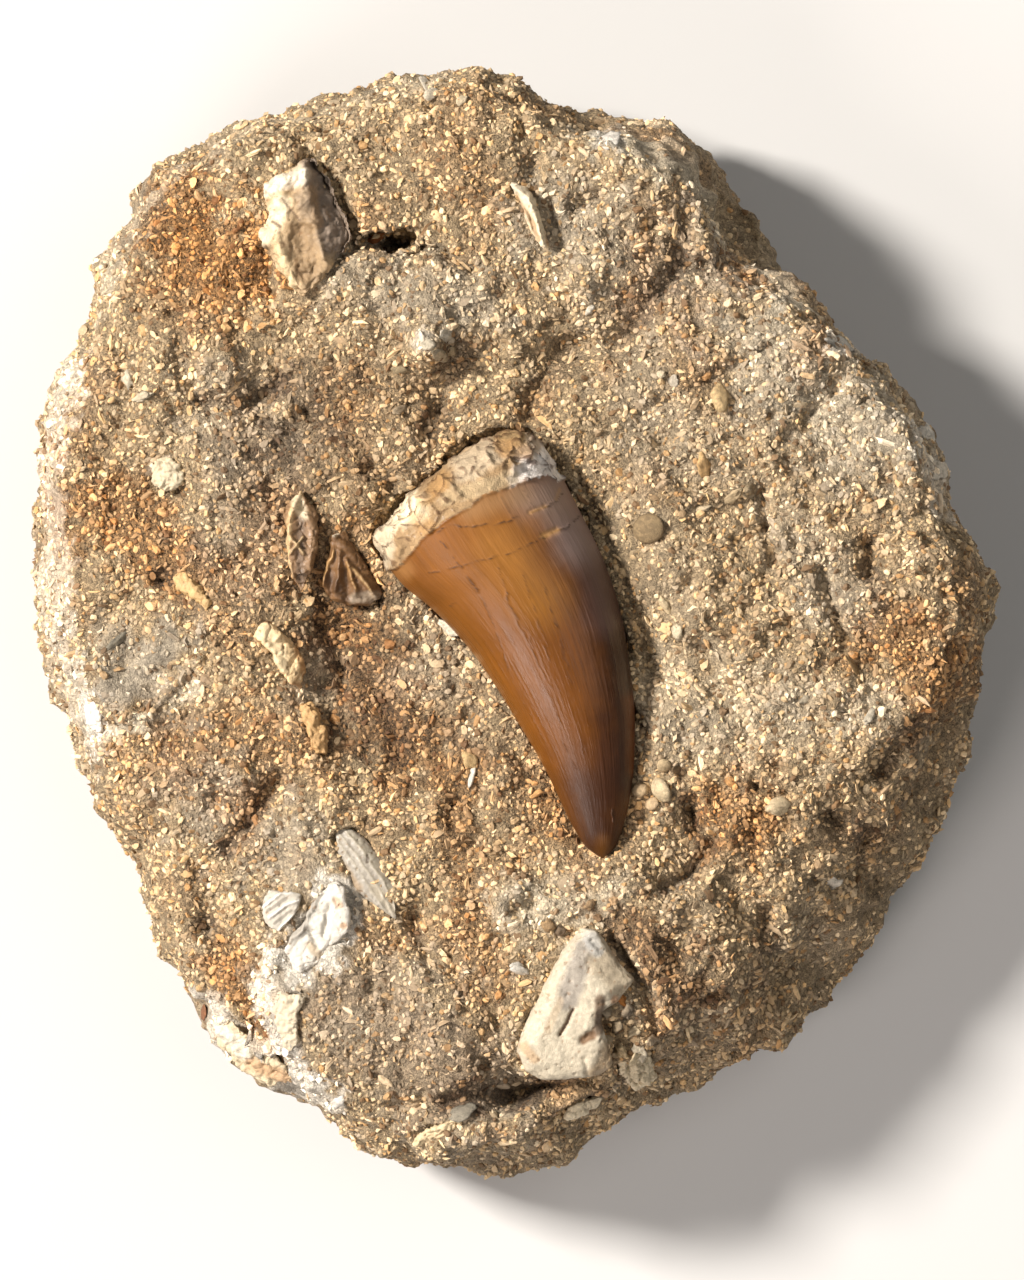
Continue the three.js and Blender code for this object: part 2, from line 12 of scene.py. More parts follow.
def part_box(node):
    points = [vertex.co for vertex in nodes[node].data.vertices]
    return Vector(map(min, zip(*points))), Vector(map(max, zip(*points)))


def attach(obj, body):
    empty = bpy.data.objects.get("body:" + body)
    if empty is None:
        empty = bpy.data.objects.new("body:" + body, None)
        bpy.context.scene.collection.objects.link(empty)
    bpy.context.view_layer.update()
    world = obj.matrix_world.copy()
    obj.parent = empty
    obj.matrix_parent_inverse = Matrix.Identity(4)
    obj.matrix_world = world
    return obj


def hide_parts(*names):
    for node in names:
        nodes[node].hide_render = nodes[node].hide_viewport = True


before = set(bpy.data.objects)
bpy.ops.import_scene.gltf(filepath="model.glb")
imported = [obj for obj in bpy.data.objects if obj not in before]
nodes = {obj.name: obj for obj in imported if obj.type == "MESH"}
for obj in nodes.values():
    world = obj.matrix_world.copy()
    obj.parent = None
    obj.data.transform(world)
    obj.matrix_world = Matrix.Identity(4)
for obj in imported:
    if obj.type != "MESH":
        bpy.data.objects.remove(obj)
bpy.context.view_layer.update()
scene = bpy.context.scene
mm = 0.001

print("frame loaded:", len(nodes), "solids")

# Camera, lights and floor

cameraSettings = {
    "lens": 300.0,
    "sensor": 36.0,
    "frameHeight": 140.8,
    "faceLevel": 29.5,
    "middle": (0.32, -2.32),
    "clipStart": 0.01,
}

lightSettings = {
    "keyBearing": 158.0,
    "keyRise": 42.0,
    "keyDistance": 2.0,
    "keySize": 0.34,
    "keyPower": 90.0,
    "keyColour": (1.0, 0.955, 0.905),
    "glowBearing": 228.0,
    "glowRise": 41.0,
    "glowDistance": 0.9,
    "glowSize": 0.4,
    "glowPower": 4.6,
    "glowColour": (1.0, 0.92, 0.88),
    "fillBearing": 20.0,
    "fillRise": 60.0,
    "fillDistance": 1.0,
    "fillSize": 0.8,
    "fillPower": 3.0,
    "fillColour": (1.0, 0.97, 0.93),
    "skyColour": (0.94, 0.96, 1.0),
    "skyStrength": 0.1,
}

floorSettings = {"reach": 1.5, "colour": (0.5, 0.49, 0.475), "roughness": 0.9}


def makeCamera(settings):
    camera = bpy.data.cameras.new("camera")
    camera.lens = settings["lens"]
    camera.sensor_width = settings["sensor"]
    camera.clip_start = settings["clipStart"]
    away = settings["frameHeight"] * settings["lens"] / settings["sensor"]
    stand = bpy.data.objects.new("camera", camera)
    x, y = settings["middle"]
    stand.location = Vector((x, y, settings["faceLevel"] + away)) * mm
    scene.collection.objects.link(stand)
    scene.camera = stand


def addLamp(name, bearing, rise, distance, size, power, colour):
    lamp = bpy.data.lights.new(name, "AREA")
    lamp.size = size
    lamp.energy = power
    lamp.color = colour
    stand = bpy.data.objects.new(name, lamp)
    turn = math.radians(bearing)
    lift = math.radians(rise)
    away = Vector((
        math.cos(turn) * math.cos(lift),
        math.sin(turn) * math.cos(lift),
        math.sin(lift),
    ))
    stand.location = away * distance
    stand.rotation_euler = away.to_track_quat("Z", "Y").to_euler()
    scene.collection.objects.link(stand)


def makeLights(settings):
    parts = ("Bearing", "Rise", "Distance", "Size", "Power", "Colour")
    for name in ("key", "glow", "fill"):
        addLamp(name, *(settings[name + part] for part in parts))
    world = bpy.data.worlds.new("studio")
    world.use_nodes = True
    sky = world.node_tree.nodes["Background"]
    sky.inputs["Color"].default_value = (*settings["skyColour"], 1.0)
    sky.inputs["Strength"].default_value = settings["skyStrength"]
    scene.world = world
    scene.view_settings.view_transform = "Standard"
    scene.view_settings.look = "None"


def newMaterial(name):
    material = bpy.data.materials.new(name)
    material.use_nodes = True
    tree = material.node_tree
    return material, tree, tree.nodes["Principled BSDF"]


def makeFloor(settings):
    reach = settings["reach"]
    mesh = bpy.data.meshes.new("floor")
    corners = [(-reach, -reach, 0), (reach, -reach, 0), (reach, reach, 0), (-reach, reach, 0)]
    mesh.from_pydata(corners, [], [(0, 1, 2, 3)])
    material, _, finish = newMaterial("floor")
    finish.inputs["Base Color"].default_value = (*settings["colour"], 1.0)
    finish.inputs["Roughness"].default_value = settings["roughness"]
    mesh.materials.append(material)
    floor = bpy.data.objects.new("floor", mesh)
    scene.collection.objects.link(floor)


makeCamera(cameraSettings)
makeLights(lightSettings)
makeFloor(floorSettings)
print("camera, lights and floor are in place")

# Colours and surface tools


def colour(code):
    # linear colour of a hex code
    parts = np.array([int(code[at:at + 2], 16) for at in (0, 2, 4)]) / 255
    return np.where(parts <= 0.04045, parts / 12.92, ((parts + 0.055) / 1.055) ** 2.4)


def plainTone(points, code):
    return np.tile(colour(code), (len(points), 1))


def blended(tone, other, share):
    return tone * (1 - share) + other * share


def smoothStep(value, low, high):
    share = np.clip((value - low) / (high - low), 0, 1)
    return share * share * (3 - 2 * share)


def hashed(cell, salt):
    # one even number from 0 to 1 for each lattice cell
    mixed = cell[..., 0] * 374761393 + cell[..., 1] * 668265263 + cell[..., 2] * 1274126177 + salt * 974711
    mixed = (mixed ^ (mixed >> 13)) * 1103515245
    mixed = mixed ^ (mixed >> 16)
    return (mixed & 0xFFFFFF) / 0xFFFFFF


# brings the sum of the corners' slopes to about -1 to 1
noiseGain = 1.6


def gradientNoise(points, size, salt=0):
    # smooth bumps from about -1 to 1, size across
    spot = points / size
    cell = np.floor(spot).astype(np.int64)
    inside = spot - cell
    ease = inside ** 3 * (inside * (inside * 6 - 15) + 10)
    total = np.zeros(len(points))
    for corner in range(8):
        step = np.array([corner & 1, corner >> 1 & 1, corner >> 2 & 1])
        at = cell + step
        lean = np.stack([hashed(at, salt + axis) * 2 - 1 for axis in range(3)], axis=1)
        weight = np.prod(np.where(step, ease, 1 - ease), axis=1)
        total += weight * np.sum(lean * (inside - step), axis=1)
    return total * noiseGain


def cellNoise(points, size, salt=0):
    # distance to the nearest and to the second nearest of scattered seeds, and the nearest's number
    spot = points / size
    cell = np.floor(spot).astype(np.int64)
    nearest = np.full(len(points), 9.0)
    second = np.full(len(points), 9.0)
    number = np.zeros(len(points))
    for corner in range(27):
        at = cell + np.array([corner % 3 - 1, corner // 3 % 3 - 1, corner // 9 - 1])
        seed = at + np.stack([hashed(at, salt + axis) for axis in range(3)], axis=1)
        away = np.linalg.norm(spot - seed, axis=1)
        closer = away < nearest
        second = np.where(closer, nearest, np.minimum(second, away))
        number = np.where(closer, hashed(at, salt + 7), number)
        nearest = np.where(closer, away, nearest)
    return nearest, second, number


def awayFromPath(points, path):
    # distance in plan from a path of places, and which side of it a point lies on
    spot = points[:, :2]
    best = np.full(len(spot), 1e9)
    side = np.zeros(len(spot))
    ends = path if len(path) > 1 else [path[0], path[0]]
    for start, end in zip(ends[:-1], ends[1:]):
        start = np.array(start)
        run = np.array(end) - start
        share = np.clip((spot - start) @ run / max(run @ run, 1e-9), 0, 1)
        gap = spot - start - share[:, None] * run
        away = np.hypot(gap[:, 0], gap[:, 1])
        closer = away < best
        turn = run[0] * (spot[:, 1] - start[1]) - run[1] * (spot[:, 0] - start[0])
        side = np.where(closer, np.sign(turn), side)
        best = np.where(closer, away, best)
    return best, side


def strokeRise(points, strokes):
    # each stroke is a path, a half width and a lift
    rise = np.zeros(len(points))
    for path, width, lift in strokes:
        away, _ = awayFromPath(points, path)
        rise += lift * np.exp(-(away / width) ** 2)
    return rise


def stained(tone, points, stains, ragged=0.5, edge=(0.5, 1.2)):
    # each stain is a path, a half width, a colour and a strength
    wander = gradientNoise(points, 2.2, 61) + 0.6 * gradientNoise(points, 0.8, 62)
    for path, width, code, strength in stains:
        away, _ = awayFromPath(points, path)
        reach = away / width + ragged * wander
        share = strength * (1 - smoothStep(reach, *edge))[:, None]
        tone = blended(tone, colour(code), share)
    return tone


def wandered(points, size, amount, salt):
    # points moved about in plan, so that what follows them isn't straight
    moved = points.copy()
    for axis in (0, 1):
        moved[:, axis] += amount * gradientNoise(points, size, salt + axis)
    return moved


def uneven(points, layers):
    # brightness that wavers, in layers of an amount, a size and a salt
    waver = sum(amount * gradientNoise(points, size, salt) for amount, size, salt in layers)
    return 1 + waver[:, None]


def meshPoints(mesh):
    flat = np.empty(len(mesh.vertices) * 3)
    mesh.vertices.foreach_get("co", flat)
    return flat.reshape(-1, 3) / mm


def setPoints(mesh, points):
    mesh.vertices.foreach_set("co", (points * mm).ravel())
    mesh.update()


def pointNormals(mesh):
    flat = np.empty(len(mesh.vertices) * 3)
    mesh.vertex_normals.foreach_get("vector", flat)
    return flat.reshape(-1, 3)


def setTone(mesh, tone, name="tone"):
    values = np.ones((len(mesh.vertices), 4))
    values[:, :3] = np.clip(tone, 0, 1)
    layer = mesh.attributes.new(name, "FLOAT_COLOR", "POINT")
    layer.data.foreach_set("color", values.ravel())


def setShare(mesh, name, share):
    layer = mesh.attributes.new(name, "FLOAT", "POINT")
    layer.data.foreach_set("value", np.clip(share, 0, 1))


def weldedCopy(name):
    # a CAD node is loose triangles, so its copy is merged first
    mesh = bpy.data.meshes.new(name + "_copy")
    work = bmesh.new()
    work.from_mesh(nodes[name].data)
    bmesh.ops.remove_doubles(work, verts=work.verts, dist=1e-6)
    work.to_mesh(mesh)
    work.free()
    return mesh


def helperFor(mesh):
    helper = bpy.data.objects.new("helper", mesh)
    scene.collection.objects.link(helper)
    return helper


def settled(helper):
    # the plain mesh that a helper's modifiers make, in place of the helper
    ready = helper.evaluated_get(bpy.context.evaluated_depsgraph_get())
    made = bpy.data.meshes.new_from_object(ready)
    bpy.data.objects.remove(helper)
    return made


def remeshed(mesh, voxel, smoothing):
    # an even skin over a closed mesh, with its facets eased away
    helper = helperFor(mesh)
    skin = helper.modifiers.new("skin", "REMESH")
    skin.mode = "VOXEL"
    skin.voxel_size = voxel * mm
    ease = helper.modifiers.new("ease", "SMOOTH")
    ease.factor = 0.5
    ease.iterations = smoothing
    return settled(helper)


def addPiece(name, mesh, material, replaced=(), smooth=True):
    mesh.materials.clear()
    mesh.materials.append(material)
    mesh.polygons.foreach_set("use_smooth", [smooth] * len(mesh.polygons))
    mesh.name = name
    piece = bpy.data.objects.new(name, mesh)
    scene.collection.objects.link(piece)
    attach(piece, "root")
    if replaced:
        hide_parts(*replaced)


# Shader tools

white = (1.0, 1.0, 1.0, 1.0)


def addNode(tree, kind, **settings):
    node = tree.nodes.new(kind)
    for name, value in settings.items():
        setattr(node, name, value)
    return node


def feed(tree, socket, value):
    if isinstance(value, bpy.types.NodeSocket):
        tree.links.new(value, socket)
    else:
        socket.default_value = value


def mathNode(tree, operation, *values):
    node = addNode(tree, "ShaderNodeMath", operation=operation)
    for at, value in enumerate(values):
        feed(tree, node.inputs[at], value)
    return node.outputs[0]


def mixNode(tree, blend, share, first, second):
    node = addNode(tree, "ShaderNodeMix", data_type="RGBA", blend_type=blend)
    feed(tree, node.inputs["Factor"], share)
    feed(tree, node.inputs["A"], first)
    feed(tree, node.inputs["B"], second)
    return node.outputs["Result"]


def mapNode(tree, value, fromLow, fromHigh, toLow, toHigh):
    node = addNode(tree, "ShaderNodeMapRange")
    limits = (fromLow, fromHigh, toLow, toHigh)
    feed(tree, node.inputs["Value"], value)
    for name, limit in zip(("From Min", "From Max", "To Min", "To Max"), limits):
        node.inputs[name].default_value = limit
    return node.outputs["Result"]


def noiseNode(tree, place, scale, detail=3.0, roughness=0.55):
    node = addNode(tree, "ShaderNodeTexNoise")
    feed(tree, node.inputs["Vector"], place)
    feed(tree, node.inputs["Scale"], scale)
    node.inputs["Detail"].default_value = detail
    node.inputs["Roughness"].default_value = roughness
    return node.outputs["Fac"]


def greyNode(tree, level):
    grey = addNode(tree, "ShaderNodeCombineColor")
    for name in ("Red", "Green", "Blue"):
        feed(tree, grey.inputs[name], level)
    return grey.outputs["Color"]


def makeGritGroup():
    # broken grain for rock, bone and root: a tint to multiply by, and a height for bump; where pores are
    # given, the tint also carries painted shade in the crevices
    tree = bpy.data.node_groups.new("grit", "ShaderNodeTree")
    for name in ("Grain", "Contrast", "Seams", "Pores"):
        tree.interface.new_socket(name, in_out="INPUT", socket_type="NodeSocketFloat")
    tree.interface.new_socket("Tint", in_out="OUTPUT", socket_type="NodeSocketColor")
    tree.interface.new_socket("Height", in_out="OUTPUT", socket_type="NodeSocketFloat")
    given = addNode(tree, "NodeGroupInput").outputs
    place = addNode(tree, "ShaderNodeTexCoord").outputs["Object"]
    scale = mathNode(tree, "DIVIDE", 1.0, mathNode(tree, "MULTIPLY", given["Grain"], mm))
    cells = addNode(tree, "ShaderNodeTexVoronoi", feature="F1")
    edges = addNode(tree, "ShaderNodeTexVoronoi", feature="DISTANCE_TO_EDGE")
    for node in (cells, edges):
        feed(tree, node.inputs["Vector"], place)
        feed(tree, node.inputs["Scale"], scale)
    seam = mapNode(tree, edges.outputs["Distance"], 0.0, 0.16, 0.0, 1.0)
    fine = noiseNode(tree, place, mathNode(tree, "MULTIPLY", scale, 3.0))
    number = addNode(tree, "ShaderNodeSeparateColor")
    feed(tree, number.inputs["Color"], cells.outputs["Color"])
    patch = mathNode(tree, "MULTIPLY_ADD", number.outputs["Red"], 0.7, 0.62)
    grain = mathNode(tree, "MULTIPLY", patch, mapNode(tree, fine, 0.3, 0.7, 0.8, 1.2))
    gap = mathNode(tree, "SUBTRACT", 1.0, seam)
    dark = mathNode(tree, "SUBTRACT", 1.0, mathNode(tree, "MULTIPLY", gap, given["Seams"]))
    crumb = noiseNode(tree, place, mathNode(tree, "MULTIPLY", scale, 1.3), 4.0, 0.62)
    curl = noiseNode(tree, place, mathNode(tree, "MULTIPLY", scale, 0.75), 1.5, 0.5)
    away = mathNode(tree, "ABSOLUTE", mathNode(tree, "SUBTRACT", curl, 0.5))
    crevice = mathNode(
        tree, "MAXIMUM",
        mapNode(tree, crumb, 0.36, 0.44, 1.0, 0.0),
        mapNode(tree, away, 0.008, 0.03, 1.0, 0.0),
    )
    # painted shade: the crevices, which the bump sinks, are darkened in the tint by the share of pores
    hollow = mathNode(tree, "MULTIPLY", crevice, given["Pores"])
    open = mathNode(tree, "SUBTRACT", 1.0, hollow)
    level = mathNode(tree, "MULTIPLY", mathNode(tree, "MULTIPLY", grain, dark), open)
    tint = mixNode(tree, "MIX", given["Contrast"], white, greyNode(tree, level))
    facets = mathNode(tree, "MULTIPLY", mathNode(tree, "MULTIPLY", seam, patch), given["Seams"])
    solid = mathNode(tree, "MULTIPLY", mapNode(tree, crumb, 0.38, 0.6, 0.0, 2.0), given["Pores"])
    height = mathNode(tree, "ADD", mathNode(tree, "ADD", fine, facets), solid)
    result = addNode(tree, "NodeGroupOutput")
    feed(tree, result.inputs["Tint"], tint)
    feed(tree, result.inputs["Height"], height)
    return tree


gritGroup = makeGritGroup()


def gritOn(tree, grain, contrast, seams, pores=0.0):
    node = addNode(tree, "ShaderNodeGroup", node_tree=gritGroup)
    node.inputs["Grain"].default_value = grain
    node.inputs["Contrast"].default_value = contrast
    node.inputs["Seams"].default_value = seams
    feed(tree, node.inputs["Pores"], pores)
    return node.outputs["Tint"], node.outputs["Height"]


def bumpNode(tree, height, distance):
    node = addNode(tree, "ShaderNodeBump")
    node.inputs["Distance"].default_value = distance * mm
    node.inputs["Strength"].default_value = 1.0
    feed(tree, node.inputs["Height"], height)
    return node.outputs["Normal"]


def attributeNode(tree, name):
    return addNode(tree, "ShaderNodeAttribute", attribute_name=name)


def mineralMaterial(name, grain, contrast, seams, relief, roughness, coat=0.0, pores=0.0):
    # a surface coloured by its own tone, broken up by grit
    material, tree, finish = newMaterial(name)
    if isinstance(pores, str):
        pores = attributeNode(tree, pores).outputs["Fac"]
    tint, height = gritOn(tree, grain, contrast, seams, pores)
    tone = attributeNode(tree, "tone").outputs["Color"]
    feed(tree, finish.inputs["Base Color"], mixNode(tree, "MULTIPLY", 1.0, tone, tint))
    feed(tree, finish.inputs["Normal"], bumpNode(tree, height, relief))
    finish.inputs["Roughness"].default_value = roughness
    finish.inputs["Coat Weight"].default_value = coat
    finish.inputs["Coat Roughness"].default_value = 0.25
    return material


def grainMaterial(name, settings):
    # loose grains take the rock's tone under them, and each its own shade
    material, tree, finish = newMaterial(name)
    shade = attributeNode(tree, "shade").outputs["Fac"]
    ramp = addNode(tree, "ShaderNodeValToRGB")
    ramp.color_ramp.interpolation = "CONSTANT"
    steps = ramp.color_ramp.elements
    colours = settings["colours"]
    while len(steps) < len(colours):
        steps.new(0.5)
    for step, (start, tint) in zip(steps, colours):
        step.position = start
        step.color = (*tint, 1.0)
    feed(tree, ramp.inputs["Fac"], shade)
    tone = attributeNode(tree, "tone").outputs["Color"]
    painted = mixNode(tree, "MULTIPLY", 1.0, tone, ramp.outputs["Color"])
    tint, height = gritOn(tree, *settings["grit"])
    feed(tree, finish.inputs["Base Color"], mixNode(tree, "MULTIPLY", 1.0, painted, tint))
    feed(tree, finish.inputs["Normal"], bumpNode(tree, height, settings["relief"]))
    finish.inputs["Roughness"].default_value = settings["roughness"]
    return material


# The rock

stoneColours = {
    "sand": "c0a680",
    "ochre": "c08849",
    "grey": "ada08b",
    "pale": "d0c2a8",
    "brown": "94714a",
    "white": "e6dccb",
    # painted shade for cuts, holes and hollows, in part a real dark brown stain
    "shadow": "62472d",
}

# lines of the face that take part in two of the lists below
facePaths = {
    "aboveRoot": [(-5.4, 29.6), (-7.3, 25.0), (-8.5, 20.8)],
    "besideRoot": [(-15.3, 16.6), (-12.9, 15.1)],
    "leftHole": [(-38.1, 4.6)],
    "rightSlot": [(39.5, 8.1), (39.5, 4.8)],
    "rightHole": [(41.9, 15.8)],
    "belowShard": [(-21.2, -1.0), (-19.3, -3.4), (-18.2, -7.6)],
    "lowerLeftHole": [(-33.1, -33.7)],
    "chalkRidge": [(-26.3, -37.5), (-24.3, -46.9)],
    "lowerRightCut": [(22.3, -24.9), (20.4, -27.6), (17.1, -30.4)],
    "shortCut": [(19.9, -19.9), (20.4, -23.2)],
    "longCut": [(28.5, -32.6), (28.1, -37.5), (26.3, -41.0)],
    "wideCut": [(33.3, -33.7), (34.0, -40.8)],
    "frontCut": [(10.0, -52.7), (13.1, -51.6)],
    "greyDip": [(-42.8, -7.8), (-37.3, -2.9)],
    "bladeGap": [(-21.7, 11.4), (-21.0, 5.4)],
    "chalkPatch": [(-18.6, -30.2), (-20.3, -35.9), (-23.2, -37.7)],
    "topScrap": [(11.3, 52.7)],
    "leftScrap": [(-47.6, -8.9), (-46.1, -12.0)],
}

